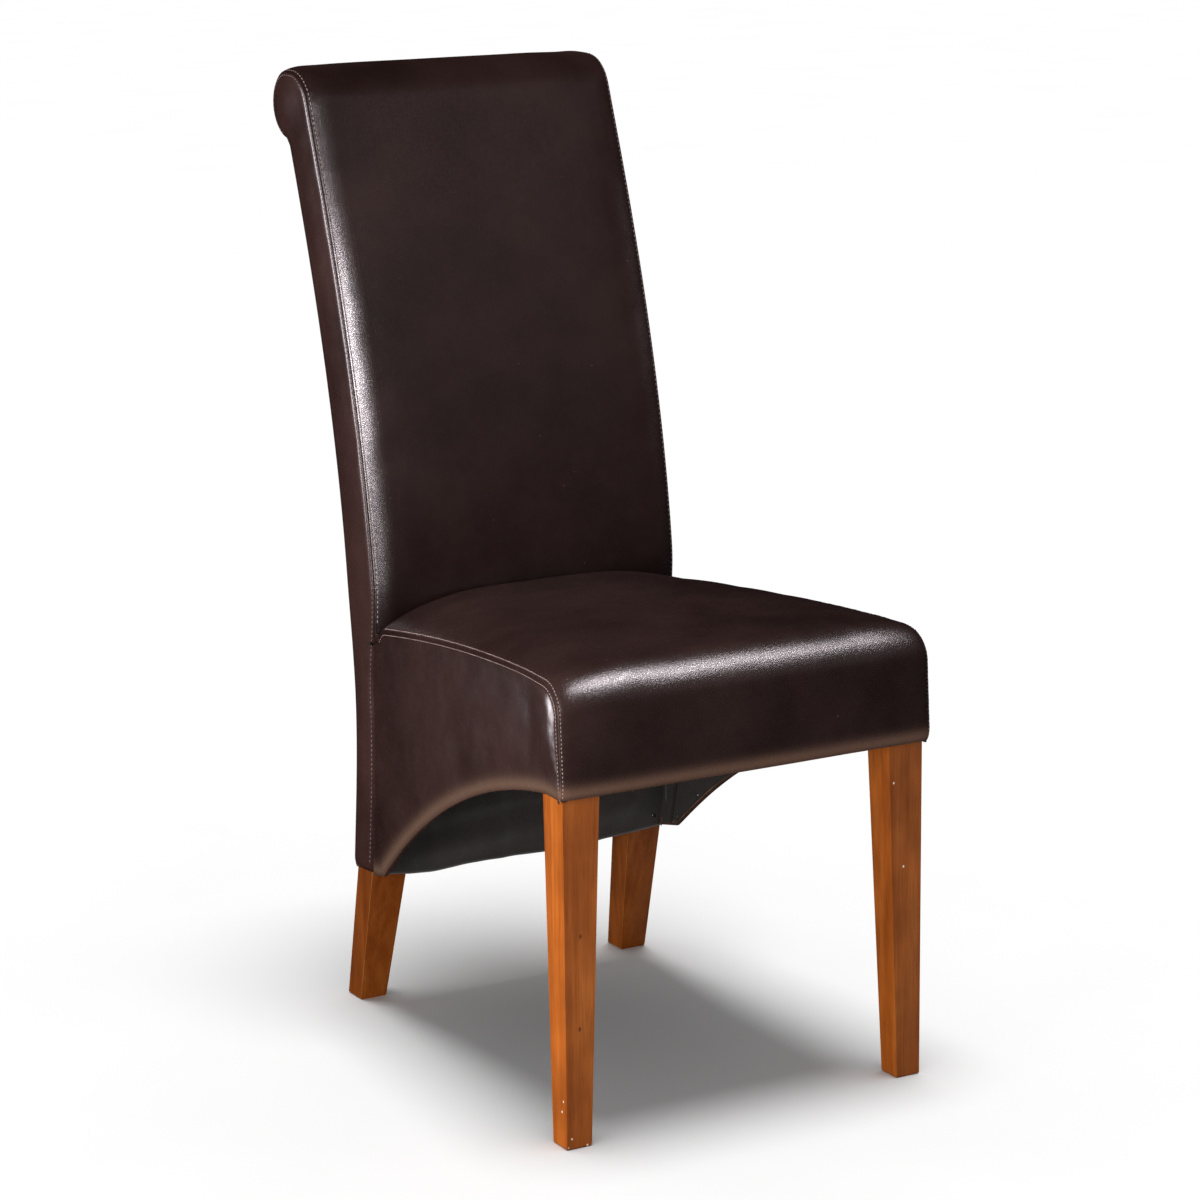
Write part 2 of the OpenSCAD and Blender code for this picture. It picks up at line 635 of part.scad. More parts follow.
lining_gap = 0.1;
lining_drop = 8;
lining_top = rail_bottom - cloth_t - lining_gap;
lining_low = hem_h - lining_drop;
module rear_lining() color(cloth_c) placed() {
    z = concat([lining_low], heights(lining_low + row_pitch, knee_h, 3), [lining_top]);
    n = len(z) - 1;
    across(post_outer - cloth_t) polygon(strip(
        [for (i = [0:n]) [post_front_line(z[i]) - cloth_t - lining_gap, z[i]]],
        [for (i = [0:n]) [post_front_line(z[i]) - lining_gap, z[i]]], n));
}
module dust_cover() color(cloth_c) placed()
    translate([0, 0, rail_bottom - cloth_t]) linear_extrude(cloth_t) difference() {
        depth = panel_inner + cloth_t + 2 * lining_gap;
        front = front_rail_y + skirt_gap;
        rear = post_front - cloth_t - 4 * lining_gap;
        polygon([
            [-leg_outer, front], [leg_outer, front],
            [side_x(front_leg_d, depth), front_leg_d], [side_x(rear, depth), rear],
            [-side_x(rear, depth), rear], [-side_x(front_leg_d, depth), front_leg_d]
        ]);
        for (side = [0, 1]) mirror([side, 0]) translate([leg_inner - joint_gap, -joint_gap])
            square([2 * front_leg_w, front_leg_d + 2 * joint_gap]);
    }
module back_board() color(board_c) placed() {
    low = hem_h + 2 * leather_t;
    high = head_from - leather_t;
    n = 30;
    across(post_outer - back_board_gap) polygon(strip(
        rear_points(leather_t + cover_gap + back_board_t, low, high, n),
        rear_points(leather_t + cover_gap, low, high, n), n));
}

// Webbing over the seat frame and across the posts
straps = 4;
strap_gap_x = 20;
strap_gap_y = 50;
strap_end = 2; // from a strap's end to the outer face of the wood that it lies on
module seat_webbing() color(strap_c) placed() {
    along = rear_rail_y + rail_t - front_rail_y - 2 * strap_end;
    for (i = [0:straps - 1]) {
        step = i - (straps - 1) / 2;
        translate([step * (strap_w + strap_gap_x) - strap_w / 2, front_rail_y + strap_end, rail_top])
            cube([strap_w, along, strap_t]);
        y = post_front / 2 + step * (strap_w + strap_gap_y);
        half = side_x(y + strap_w / 2, panel_inner + strap_end);
        translate([-half, y - strap_w / 2, rail_top + strap_t]) cube([2 * half, strap_w, strap_t]);
    }
}
module back_webbing() color(strap_c) placed() {
    half = post_outer - 2 * strap_end;
    low = post_join + strap_w / 2;
    high = head_from - strap_w / 2 - head_overlap;
    for (i = [0:straps]) {
        z = mix(low, high, i / straps);
        translate([0, post_front_line(z) - cover_gap, z]) rotate([-post_lean(z), 0, 0])
            translate([-half, -strap_t, -strap_w / 2]) cube([2 * half, strap_t, strap_w]);
    }
}

// Padding
foam_low = rail_top + 2 * strap_t + cover_gap;
module front_padding() color(foam_c) placed() {
    half = leg_outer - leather_t;
    thick = front_proud - leather_t - front_lean - 3 * cover_gap;
    translate([-half, -thick - cover_gap, rail_bottom]) cube([2 * half, thick, rail_h]);
}
module seat_foam() color(foam_c) placed() {
    inset = cover_gap + joint_gap;
    seam = seam_line(foam_low, inset);
    middle = mid_line(foam_low, leather_t + inset);
    outer = seat_grid(seam, middle, side_inner + cover_gap);
    rows = len(outer) - 1;
    inner = [for (i = [0:rows]) [for (p = outer[i])
        let (y = mix(seat_rear_y, seam[rows][0] + leather_t, i / rows))
        [p[0] * side_x(y, side_inner + cover_gap) / side_x(p[1], side_inner + cover_gap), y, foam_low]]];
    skin(outer, inner);
}
// The front of the back and of its foam bow out between the side strips, less so at the roll
bow_from = mix(lumbar_h, roll_z, 0.58);
function back_bow(z) =
    back_crown * mix(1, 1 / 3, smooth((z - bow_from) / (roll_z - bow_from)));
function back_grid(line, half, bow) =
    [for (p = line) [for (j = [0:2 * back_half_cols])
        let (s = across_share(j, back_half_cols), b = bow ? back_bow(p[1]) * (1 - abs(s) ^ 4) : 0,
             over = p[1] > tangent_z || p[0] > roll_front_y,
             out = over ? unit(p - [roll_bar_y, roll_bar_z]) : [-1, 0])
        [s * half, p[0] + out[0] * b, p[1] + out[1] * b]]];
function unit(v) = v / norm(v);
module back_foam() color(foam_c) placed() {
    outer = front_points(leather_t + cover_gap, back_heights);
    inner = [for (z = back_heights) [post_front_line(z) - strap_t - 3 * cover_gap, z]];
    skin(back_grid(outer, post_outer, true), back_grid(inner, post_outer, false));
}
// The roll's foam fills it between the posts' heads, lies round the bar and wraps the heads
module roll_foam() color(foam_c) placed() difference() {
    across(post_outer) intersection() {
        polygon(back_outline(leather_t + cover_gap, lumbar_h));
        translate([0, head_from + cover_gap]) square([overall_d, overall_h]);
    }
    across(post_outer) translate([roll_bar_y, roll_bar_z])
        circle(d = roll_bar_d + 2 * cover_gap, $fn = 96);
    for (side = [0, 1]) mirror([side, 0, 0])
        translate([cross_half - joint_gap, 0, 0]) rotate([90, 0, 90]) linear_extrude(post_outer)
            polygon(back_outline(head_inset - cover_gap, lumbar_h));
}

// Leather
module seat_cover() color(leather_c) placed() {
    outer = seat_grid(seam_line(cover_bottom, 0), mid_line(cover_bottom, 0), side_edge);
    inner = seat_grid(seam_line(cover_bottom, cover_gap), mid_line(cover_bottom, leather_t), side_inner);
    skin(outer, inner);
}
// The side cover runs from the seat's side seam down to the arch
side_rows = 6;
function side_cover_grid(depth_edge, depth_mid) =
    let (seam = seam_line(cover_bottom, 2 * cover_gap), cols = top_rows + edge_rows,
         top = concat([[front_line(seam[0][1]) - cover_gap, seam[0][1] - leather_t]],
                      [for (j = [0:cols]) seam[j]]),
         front = seam[cols][0],
         low_rear = front_line(hem_h) - cover_gap,
         top_rear = top[0][0])
    [for (i = [0:side_rows]) [for (j = [0:cols + 1])
        let (v = i / side_rows, t = top[j],
             low_y = front + (t[0] - front) * (low_rear - front) / (top_rear - front),
             z = mix(t[1], arch_z(low_y), v),
             share = (t[0] - front) / (top_rear - front),
             y = mix(t[0], low_y, v)
                 + share ^ 8 * (front_line(z) - cover_gap - mix(top_rear, low_rear, v)),
             lean = front_lean * v * (1 - share) ^ 12,
             pad = (4 * v * (1 - v)) ^ 0.5 * (4 * share * (1 - share)) ^ 0.5)
        [-side_x(y - lean, mix(depth_edge, depth_mid, min(1, pad))), y - lean, z]]];
module seat_side_cover(side) color(side_leather_c) placed() mirror([side, 0, 0])
    skin(side_cover_grid(side_edge, 0), side_cover_grid(cover_inner, cover_inner));

module back_cover_front() color(leather_c) placed() {
    rows = concat(roll_heights, back_heights);
    outer = concat(roll_points(0), front_points(0, rows));
    inner = concat(roll_points(leather_t), front_points(leather_t, rows));
    skin(back_grid(outer, post_outer, true), back_grid(inner, post_outer, true));
}
module back_cover_rear() color(leather_c) placed() {
    n = 30;
    top = neck[0] - leather_t;
    across(post_outer) polygon(strip(
        rear_points(leather_t, hem_h, top, n), rear_points(0, hem_h, top, n), n));
    front = post_front_line(hem_h) + 2 * leather_t;
    translate([-rear_rail_half, front, hem_h + cover_gap])
        cube([2 * rear_rail_half, rear_line(hem_h) - leather_t / 2 - front, leather_t]);
}
module back_gusset(side) color(side_leather_c) placed() mirror([side, 0, 0]) {
    translate([-back_w / 2, 0, 0]) rotate([90, 0, 90]) linear_extrude(leather_t)
        polygon(back_outline(0, hem_h));
    dome_r = roll_r - 4 * leather_t;
    sphere_r = (dome_r ^ 2 + roll_end_bulge ^ 2) / (2 * roll_end_bulge);
    translate([-back_w / 2, roll_y, roll_z]) intersection() {
        translate([sphere_r - roll_end_bulge, 0, 0]) sphere(r = sphere_r, $fn = 200);
        rotate([0, -90, 0]) translate([0, 0, -leather_t])
            cylinder(r = dome_r, h = leather_t + 2 * roll_end_bulge, $fn = 96);
    }
}

front_leg(1);  // front_leg_left
front_leg(0);  // front_leg_right
rear_leg(1);  // rear_leg_left
rear_leg(0);  // rear_leg_right
front_rail();
rear_rail();
side_rail(0);  // side_rail_left
side_rail(1);  // side_rail_right
front_block(1);  // corner_block_front_left
front_block(0);  // corner_block_front_right
rear_block(1);  // corner_block_rear_left
rear_block(0);  // corner_block_rear_right
corner_screws();
leg_bolts();
leg_washers();
leg_nuts();
cross_rail(cross_rail_z[0]);  // back_lower_rail
cross_rail(cross_rail_z[1]);  // back_middle_rail
cross_rail(cross_rail_z[2]);  // back_top_rail
skirt_rail();
roll_rail();
skirt_panel(0);  // skirt_panel_left
skirt_panel(1);  // skirt_panel_right
side_lining(0);  // side_lining_left
side_lining(1);  // side_lining_right
rear_lining();
dust_cover();
back_board();
seat_webbing();
back_webbing();
front_padding();
seat_foam();
back_foam();
roll_foam();
seat_cover();
seat_side_cover(0);  // seat_side_cover_left
seat_side_cover(1);  // seat_side_cover_right
back_cover_front();
back_cover_rear();
back_gusset(0);  // back_gusset_left
back_gusset(1);  // back_gusset_right
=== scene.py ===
"""Looks of the rollback dining chair, in metres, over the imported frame.

Shapes are computed in millimetres in the source's own coordinates, where y is 0 at the front
legs' faces, and world() moves them into the row frame.
"""

from math import atan, atan2, cos, pi, radians, sin, tan

import bpy
import numpy as np
from mathutils import Matrix, Vector

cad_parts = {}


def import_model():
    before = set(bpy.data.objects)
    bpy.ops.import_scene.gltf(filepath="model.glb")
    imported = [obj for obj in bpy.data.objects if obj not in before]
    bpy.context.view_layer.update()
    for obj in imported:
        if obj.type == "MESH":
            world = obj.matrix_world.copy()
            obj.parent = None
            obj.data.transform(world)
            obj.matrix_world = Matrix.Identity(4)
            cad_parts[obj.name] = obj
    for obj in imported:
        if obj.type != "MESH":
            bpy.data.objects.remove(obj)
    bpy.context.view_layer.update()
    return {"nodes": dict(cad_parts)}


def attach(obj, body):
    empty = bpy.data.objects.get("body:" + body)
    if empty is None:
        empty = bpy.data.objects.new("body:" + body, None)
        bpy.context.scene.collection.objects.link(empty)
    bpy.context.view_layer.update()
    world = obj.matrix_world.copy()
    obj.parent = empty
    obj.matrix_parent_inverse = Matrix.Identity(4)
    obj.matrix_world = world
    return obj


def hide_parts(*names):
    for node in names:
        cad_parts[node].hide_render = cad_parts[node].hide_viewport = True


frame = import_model()

# -------- sizes, as in the source, in mm
Y_MID = 345.0
SEAT_W, SEAT_REAR, COVER_BOTTOM = 456.0, 465.3, 378.0
POST_FRONT, NECK_Z, BACK_HALF = 487.0, 978.0, 196.3
SIDE_END = POST_FRONT - 8
SIDE_SLOPE = 30 / SIDE_END
SIDE_COS = cos(atan(SIDE_SLOPE))
HEM_H, ARCH_START, ARCH_END, ARCH_END_H, ARCH_RISE = 165.0, 31.0, 464.0, 171.0, 36.0
ROLL_R, ROLL_Y, ROLL_Z = 42.0, 664.5, 1027.0
FRONT_R, FRONT_Z, RAKE_HIGH, RAKE_LOW = 50.0, 1019.0, radians(20), radians(6)
LEG_OUTER, LEG_INNER, LEG_D = 220.75, 177.75, 41.0
KNEE_H, FOOT_FRONT = 226.0, 541.26
REAR_FULL = 4.5  # how far the rear leather stands out from the solids' rear line
# Points (z, y) of the solids' rear line
HEM_AT, WAIST_AT, LUMBAR_AT, NECK_AT = (HEM_H, 543), (350, 528.5), (510, 543), (NECK_Z, 660)


def smooth(t):
    t = np.clip(t, 0, 1)
    return t * t * (3 - 2 * t)


def mix(a, b, t):
    return a + (b - a) * t


def bell(t, width):
    return np.exp(-(t / width)**2)


def unit(v):
    return v / np.linalg.norm(v, axis=-1, keepdims=True)


def hermite(a, b, slope_a, slope_b, z):
    length = b[0] - a[0]
    t = (z - a[0]) / length
    return ((2 * t**3 - 3 * t**2 + 1) * a[1] + (3 * t**2 - 2 * t**3) * b[1]
            + length * ((t**3 - 2 * t**2 + t) * slope_a + (t**3 - t**2) * slope_b))


def rear_line(z):
    """The rear of the back's solids: y at each height."""
    z = np.asarray(z, float)
    low, high = tan(RAKE_LOW), tan(RAKE_HIGH)
    skirt = hermite(HEM_AT, WAIST_AT, -0.11, 0, z)
    waist = hermite(WAIST_AT, LUMBAR_AT, 0, low, z)
    upper = hermite(LUMBAR_AT, NECK_AT, low, high, z)
    over = NECK_AT[1] + (z - NECK_Z) * high
    below = [z < WAIST_AT[0], z < LUMBAR_AT[0], z < NECK_Z]
    return np.select(below, [skirt, waist, upper], over)


def front_line(z):
    """The back's front: 50 mm before the rear in the skirt, and 74 mm above the lumbar."""
    z = np.asarray(z, float)
    return rear_line(z) - mix(50, 74, smooth((z - 370) / 140))


def upright(line, z, shift=0.0):
    """Points (y, z) of a line that gives y at each height."""
    return np.stack([line(z) + shift, z], 1)


TANGENT_Z = FRONT_Z + FRONT_R * sin(RAKE_HIGH)
FRONT_Y = float(front_line(TANGENT_Z)) + FRONT_R * cos(RAKE_HIGH)
HEM_FRONT = float(front_line(HEM_H))


def side_x(y, depth=0.0):
    """x of the seat's right side at y, at a depth inside its face."""
    return SEAT_W / 2 - SIDE_SLOPE * y - depth / SIDE_COS


def arch_z(y):
    """Height of the side skirt's lower edge."""
    y = np.asarray(y, float)
    a, b = np.array([ARCH_START, COVER_BOTTOM]), np.array([ARCH_END, ARCH_END_H])
    chord = np.linalg.norm(b - a)
    r = chord**2 / (8 * ARCH_RISE) + ARCH_RISE / 2
    centre = (a + b) / 2 - np.array([a[1] - b[1], b[0] - a[0]]) / chord * (r - ARCH_RISE)
    bow = centre[1] + np.sqrt(np.maximum(r**2 - (y - centre[0])**2, 0))
    foot = mix(ARCH_END_H, HEM_H, (y - ARCH_END) / (HEM_FRONT - ARCH_END))
    return np.where(y < ARCH_START, COVER_BOTTOM, np.where(y > ARCH_END, foot, bow))


def shoulder(d, width, drop):
    """How far a padded edge has turned down at a distance d from the side that it turns to."""
    t = np.clip(d / width, 0, 1)
    return drop * (1 - np.sqrt(1 - (1 - t)**2))


def seam_dip(d):
    """A seam's groove at d = 0, a small puff beside it and the dent under its row of stitches."""
    return 1.5 * bell(d, 1.0) - 0.35 * bell(d - ROW / 2, 1.0) + 0.35 * bell(d - ROW, 0.9)


def line_distance(points, line):
    """Distance from each of points (n, 2) to a polyline (m, 2)."""
    best = np.full(len(points), 1e9)
    for a, b in zip(line[:-1], line[1:]):
        ab = b - a
        t = np.clip(((points - a) @ ab) / max(float(ab @ ab), 1e-9), 0, 1)
        best = np.minimum(best, np.linalg.norm(points - a - t[:, None] * ab, axis=1))
    return best


def line_normals(line):
    """Unit normals of a line of points (n, 2), to its right."""
    t = np.gradient(line, axis=0)
    return unit(np.stack([t[:, 1], -t[:, 0]], 1))


def lengths(line):
    """Length along a line up to each of its points."""
    return np.concatenate([[0], np.cumsum(np.linalg.norm(np.diff(line, axis=0), axis=1))])


def resample(line, count=None, step=None):
    """A line's points at even distances, by their count or by a step that comes out near."""
    s = lengths(line)
    t = np.linspace(0, 1, count or max(2, int(round(s[-1] / step)) + 1)) * s[-1]
    return np.stack([np.interp(t, s, line[:, k]) for k in range(line.shape[1])], axis=1)


def ripple(p, scale, seed):
    """Smooth deterministic noise from a few sines, about -1 to 1, over points in mm."""
    rng = np.random.default_rng(seed)
    total = np.zeros(p.shape[:-1])
    for _ in range(7):
        direction = unit(rng.normal(size=p.shape[-1]))
        total += np.sin(p @ direction * (2 * pi / (scale * rng.uniform(0.6, 1.6)))
                        + rng.uniform(0, 6.3))
    return total / 4


# -------- making meshes
ALLOWANCE = 3.5  # a seam's edges turn in by this much
CLOTH_CELL, CLOTH_FRAMES = 9, 14  # the cloth's coarse grid in mm, and how long it settles
THREAD_R, STITCH_SHARE = 0.44, 0.6  # a thread's radius, and the share of its pitch that shows


def world(p):
    """Points in mm of the source's coordinates as metres in the row frame."""
    q = np.asarray(p, float) * 0.001
    q[..., 1] -= Y_MID * 0.001
    return q


def put(name, data):
    """A new object in the scene."""
    obj = bpy.data.objects.new(name, data)
    bpy.context.scene.collection.objects.link(obj)
    return obj


def new_object(name, verts, faces, material=None):
    mesh = bpy.data.meshes.new(name)
    mesh.from_pydata([tuple(v) for v in verts], [], faces)
    mesh.update()
    mesh.polygons.foreach_set("use_smooth", [True] * len(mesh.polygons))
    if material:
        mesh.materials.append(material)
    return put(name, mesh)


def thicken(obj, mm, offset):
    solid = obj.modifiers.new("thickness", "SOLIDIFY")
    solid.thickness, solid.offset = mm * 0.001, offset


def grid(x, y, z):
    """A grid of points from coordinates that broadcast to its shape."""
    return np.stack(np.broadcast_arrays(x, y, z), axis=2)


def both_sides(half, off):
    """x of a grid's columns, at the distances off in from both of its sides."""
    return np.concatenate([-(half - off), (half - off)[..., -2::-1]], axis=-1)


def mirrored(p):
    return p * [-1, 1, 1]


def grid_faces(rows, cols, flip=False):
    i, j = np.meshgrid(np.arange(rows - 1), np.arange(cols - 1), indexing="ij")
    a = (i * cols + j).ravel()
    quad = np.stack([a, a + 1, a + 1 + cols, a + cols], axis=1)
    return (quad[:, ::-1] if flip else quad).tolist()


def add_tube(verts, faces, rings, sides, foot=False):
    """Adds a tube through rings (centre, radius and two axes), closed at its end, and at its
    start too if foot."""
    base = len(verts)
    for centre, r, a, b in rings:
        for q in range(sides):
            w = 2 * pi * q / sides
            verts.append(centre + r * (cos(w) * a + sin(w) * b))
    last = len(verts) - sides
    for start in range(base, last, sides):
        for q in range(sides):
            n = (q + 1) % sides
            faces.append((start + q, start + n, start + sides + n, start + sides + q))
    if foot:
        faces.append(tuple(range(base, base + sides))[::-1])
    faces.append(tuple(range(last, last + sides)))


def normals(p, flip=False):
    """Unit normals of a grid of points."""
    n = np.cross(np.gradient(p, axis=1), np.gradient(p, axis=0))
    n /= np.maximum(np.linalg.norm(n, axis=2, keepdims=True), 1e-9)
    return -n if flip else n


def turned_under(edge, count, inward, down, narrowing=0.0):
    """Rows that roll a lower edge under, inward along y."""
    rows = []
    for a in np.linspace(0, pi / 2, count + 1)[1:]:
        turn = 1 - cos(a)
        rows.append(edge * [1 - narrowing * turn, 1, 1] + [0, inward * turn, -down * sin(a)])
    return rows


def settle(p, pressure, cap, hold):
    """Blender's cloth on a coarse copy of a grid, held near its seams: how far each point moves,
    in mm. cap bounds the moves, and hold is 1 where the grid stays."""

    def pick(axis):
        step = np.linalg.norm(np.diff(p, axis=axis), axis=2).mean(axis=1 - axis)
        s = np.concatenate([[0], np.cumsum(step)])
        want = np.linspace(0, s[-1], int(s[-1] / CLOTH_CELL) + 2)
        return np.unique(np.searchsorted(s, want).clip(0, len(s) - 1))

    ri, ci = pick(0), pick(1)
    coarse = p[np.ix_(ri, ci)]
    rows, cols = coarse.shape[:2]
    obj = new_object("cloth_run", world(coarse.reshape(-1, 3)), grid_faces(rows, cols, True))
    pin = obj.vertex_groups.new(name="pin")
    held = hold[np.ix_(ri, ci)]
    held[[0, -1], :] = held[:, [0, -1]] = 1
    for k, w in enumerate(held.ravel()):
        if w > 0:
            pin.add([k], float(w), "REPLACE")
    cloth = obj.modifiers.new("cloth", "CLOTH")
    s = cloth.settings
    s.vertex_group_mass, s.quality, s.mass = "pin", 6, 0.5
    s.tension_stiffness = s.compression_stiffness = 20
    s.shear_stiffness, s.bending_stiffness = 10, 3
    s.use_pressure, s.uniform_pressure_force, s.shrink_min = True, pressure, -0.004
    s.effector_weights.gravity = 0
    cloth.point_cache.frame_start, cloth.point_cache.frame_end = 1, CLOTH_FRAMES
    for f in range(1, CLOTH_FRAMES + 1):
        bpy.context.scene.frame_set(f)
    done = obj.evaluated_get(bpy.context.evaluated_depsgraph_get()).to_mesh()
    out = np.zeros(rows * cols * 3, np.float32)
    done.vertices.foreach_get("co", out)
    move = out.reshape(rows, cols, 3).astype(float) * 1000 - world(coarse) * 1000
    bpy.data.objects.remove(obj)
    bpy.context.scene.frame_set(1)
    move *= cap / (np.linalg.norm(move, axis=2, keepdims=True) + cap)
    for _ in range(3):  # evens out folds as fine as the coarse grid
        around = move[:-2, 1:-1] + move[2:, 1:-1] + move[1:-1, :-2] + move[1:-1, 2:]
        move[1:-1, 1:-1] = 0.5 * move[1:-1, 1:-1] + 0.125 * around
    for axis, at in ((1, ci), (0, ri)):
        every = np.arange(p.shape[axis])
        move = np.apply_along_axis(lambda v: np.interp(every, at, v), axis, move)
    return move


def leather(name, p, flip, material, thickness=1.4, edges="", hem=None, polish=None):
    """A skin from a grid of points on its outer face. edges: sides of the grid whose seam
    allowance turns in (r first row, c first column, C last column). hem and polish give the
    shares that its material reads, from points in mm: the hems' rub with a painted highlight,
    and the polish."""
    if "r" in edges:
        p = np.concatenate([p[:1] - ALLOWANCE * normals(p, flip)[:1], p])
    if "c" in edges:
        p = np.concatenate([p[:, :1] - ALLOWANCE * normals(p, flip)[:, :1], p], axis=1)
    if "C" in edges:
        p = np.concatenate([p, p[:, -1:] - ALLOWANCE * normals(p, flip)[:, -1:]], axis=1)
    points = p.reshape(-1, 3)
    obj = new_object(name, world(points), grid_faces(*p.shape[:2], flip), material)
    # hem: the hems' rub and painted highlight
    for attribute, share in (("worn", hem), ("polish", polish)):
        if share:
            data = obj.data.attributes.new(attribute, "FLOAT", "POINT").data
            data.foreach_set("value", share(points).astype(np.float32))
    thicken(obj, thickness, -1)
    return obj


def stitches(name, rows, material, pitch):
    """Rows of thread: each row is (points, normals) in mm, and each stitch is a bent capsule."""
    verts, faces = [], []
    arc = np.sin(np.linspace(0.0, pi, 6))
    r = THREAD_R * (0.45 + 0.55 * np.sqrt(arc.clip(0, 1)))
    for points, ups in rows:
        s = lengths(points)
        count = int(s[-1] / pitch)
        for k in range(count):
            a = (k + 0.14) * s[-1] / count
            t = np.linspace(a, a + STITCH_SHARE * s[-1] / count, len(arc))
            c, u = (np.stack([np.interp(t, s, v[:, i]) for i in range(3)], 1)
                    for v in (points, ups))
            u = unit(u)
            side = np.cross(unit(np.gradient(c, axis=0)), u)
            c = c + u * (0.6 * arc - 0.1)[:, None]
            add_tube(verts, faces, zip(c, r, side, u), 6, foot=True)
    return new_object(name, world(np.array(verts)), faces, material)


# -------- materials
class Nodes:
    """Short ways to add nodes to a tree. Each gives the new node's outputs, or one of them."""

    def __init__(self, tree):
        self.tree = tree

    def feed(self, node, inputs):
        """Sets a node's inputs, or links them where the value is a socket."""
        for key, value in inputs.items():
            if isinstance(value, bpy.types.NodeSocket):
                self.tree.links.new(value, node.inputs[key])
            else:
                node.inputs[key].default_value = value

    def add(self, kind, inputs, **settings):
        node = self.tree.nodes.new("ShaderNode" + kind)
        for key, value in settings.items():
            setattr(node, key, value)
        self.feed(node, inputs)
        return node.outputs

    def place(self, scale=(1, 1, 1), rotation=(0, 0, 0)):
        coords = self.add("TexCoord", {})["Object"]
        return self.add("Mapping", {"Vector": coords, "Scale": scale, "Rotation": rotation})[0]

    def noise(self, at, scale, detail, rough=0.5, distortion=0.0):
        return self.add("TexNoise", {"Vector": at, "Scale": scale, "Detail": detail,
                                     "Roughness": rough, "Distortion": distortion})["Fac"]

    def ramp(self, factor, *stops):
        node = self.tree.nodes.new("ShaderNodeValToRGB")
        self.feed(node, {"Fac": factor})
        while len(node.color_ramp.elements) < len(stops):
            node.color_ramp.elements.new(0.5)
        for element, (where, colour) in zip(node.color_ramp.elements, stops):
            element.position = where
            element.color = (*colour, 1)
        return node.outputs["Color"]

    def span(self, value, to_min, to_max, from_min=0.0, from_max=1.0):
        return self.add("MapRange", {"Value": value, "From Min": from_min, "From Max": from_max,
                                     "To Min": to_min, "To Max": to_max})[0]

    def maths(self, operation, a, b):
        return self.add("Math", {0: a, 1: b}, operation=operation)[0]

    def times(self, a, b):
        return self.maths("MULTIPLY", a, b)

    def plus(self, a, b):
        return self.maths("ADD", a, b)

    def tint(self, factor, a, b, mode="MIX"):
        """Blends a colour a with b, which is a socket or a colour too."""
        b = (*b, 1) if isinstance(b, tuple) else b
        return self.add("Mix", {0: factor, 6: a, 7: b}, data_type="RGBA", blend_type=mode)[2]

    def share(self, name):
        """One of the shares that leather() writes into its points."""
        return self.add("Attribute", {}, attribute_name=name)["Fac"]

    def bump(self, height, strength, distance):
        return self.add("Bump", {"Height": height, "Strength": strength,
                                 "Distance": distance})[0]


class Material(Nodes):
    """A new material with its shader and its object coordinates."""

    def __init__(self, name):
        self.made = bpy.data.materials.new(name)
        self.made.use_nodes = True
        super().__init__(self.made.node_tree)
        self.tree.nodes.clear()
        self.bsdf = self.tree.nodes.new("ShaderNodeBsdfPrincipled")
        self.add("OutputMaterial", {0: self.bsdf.outputs[0]})
        self.at = self.place()

    def shade(self, inputs):
        """Sets the shader's inputs and gives the finished material."""
        self.feed(self.bsdf, inputs)
        return self.made


def leather_material(name, dark, light, worn, grain, rough, polished=False):
    """Bonded leather: pebble grain, soft clouding, faint creases, a few flecks, and a lighter
    colour along hems that is partly rub and partly a painted highlight. polished: the gloss follows
    the piece's polish and fades at glancing angles."""
    m = Material(name)
    warp = m.add("TexNoise", {"Vector": m.at, "Scale": 260.0, "Detail": 2.0})["Color"]
    bent = m.add("Mix", {0: 0.0025, 4: m.at, 5: warp}, data_type="VECTOR")[1]
    cells = m.add("TexVoronoi", {"Vector": bent, "Scale": 540.0}, feature="DISTANCE_TO_EDGE")
    pebble = m.ramp(cells["Distance"], (0.0, (0, 0, 0)), (0.2, (0.62,) * 3), (0.5, (1,) * 3))
    fine = m.noise(m.at, 1500.0, 3.0)
    crease = m.noise(m.at, 55.0, 5.0, 0.6)
    cloud = m.noise(m.at, 9.0, 4.0, 0.55)
    speck = m.add("TexVoronoi", {"Vector": m.at, "Scale": 55.0})
    kind = m.add("SeparateColor", {"Color": speck["Color"]})["Red"]
    fleck = m.times(m.maths("LESS_THAN", speck["Distance"], 0.028),
                    m.maths("GREATER_THAN", kind, 0.5))
    tone = m.ramp(cloud, (0.32, dark), (0.68, light))
    tone = m.tint(0.06, tone, pebble, "MULTIPLY")
    tone = m.tint(m.times(fleck, 0.6), tone, (0.3, 0.24, 0.22))
    # the hems' lighter colour: partly rub, partly a painted highlight
    tone = m.tint(m.share("worn"), tone, worn)
    groove = m.times(m.maths("SUBTRACT", 1.0, pebble), 0.12 * grain)
    shine = m.span(pebble, 0.5 - 0.32 * grain, 0.5 + 0.08 * grain)
    if polished:
        facing = m.add("LayerWeight", {"Blend": 0.5})["Facing"]
        fade = m.span(facing, 1.0, 0.0, 0.4, 0.66)
        shine = m.times(shine, m.times(fade, m.share("polish")))
    height = m.plus(m.times(pebble, grain), m.times(fine, 0.2 * grain))
    height = m.plus(height, m.times(crease, 0.3 + 0.3 * grain))
    return m.shade({"Roughness": m.plus(m.span(crease, *rough, 0.3, 0.7), groove),
                    "Base Color": tone, "Normal": m.bump(height, 1.0, 0.00009),
                    "Specular IOR Level": shine, "Specular Tint": (1.0, 0.93, 0.93, 1)})


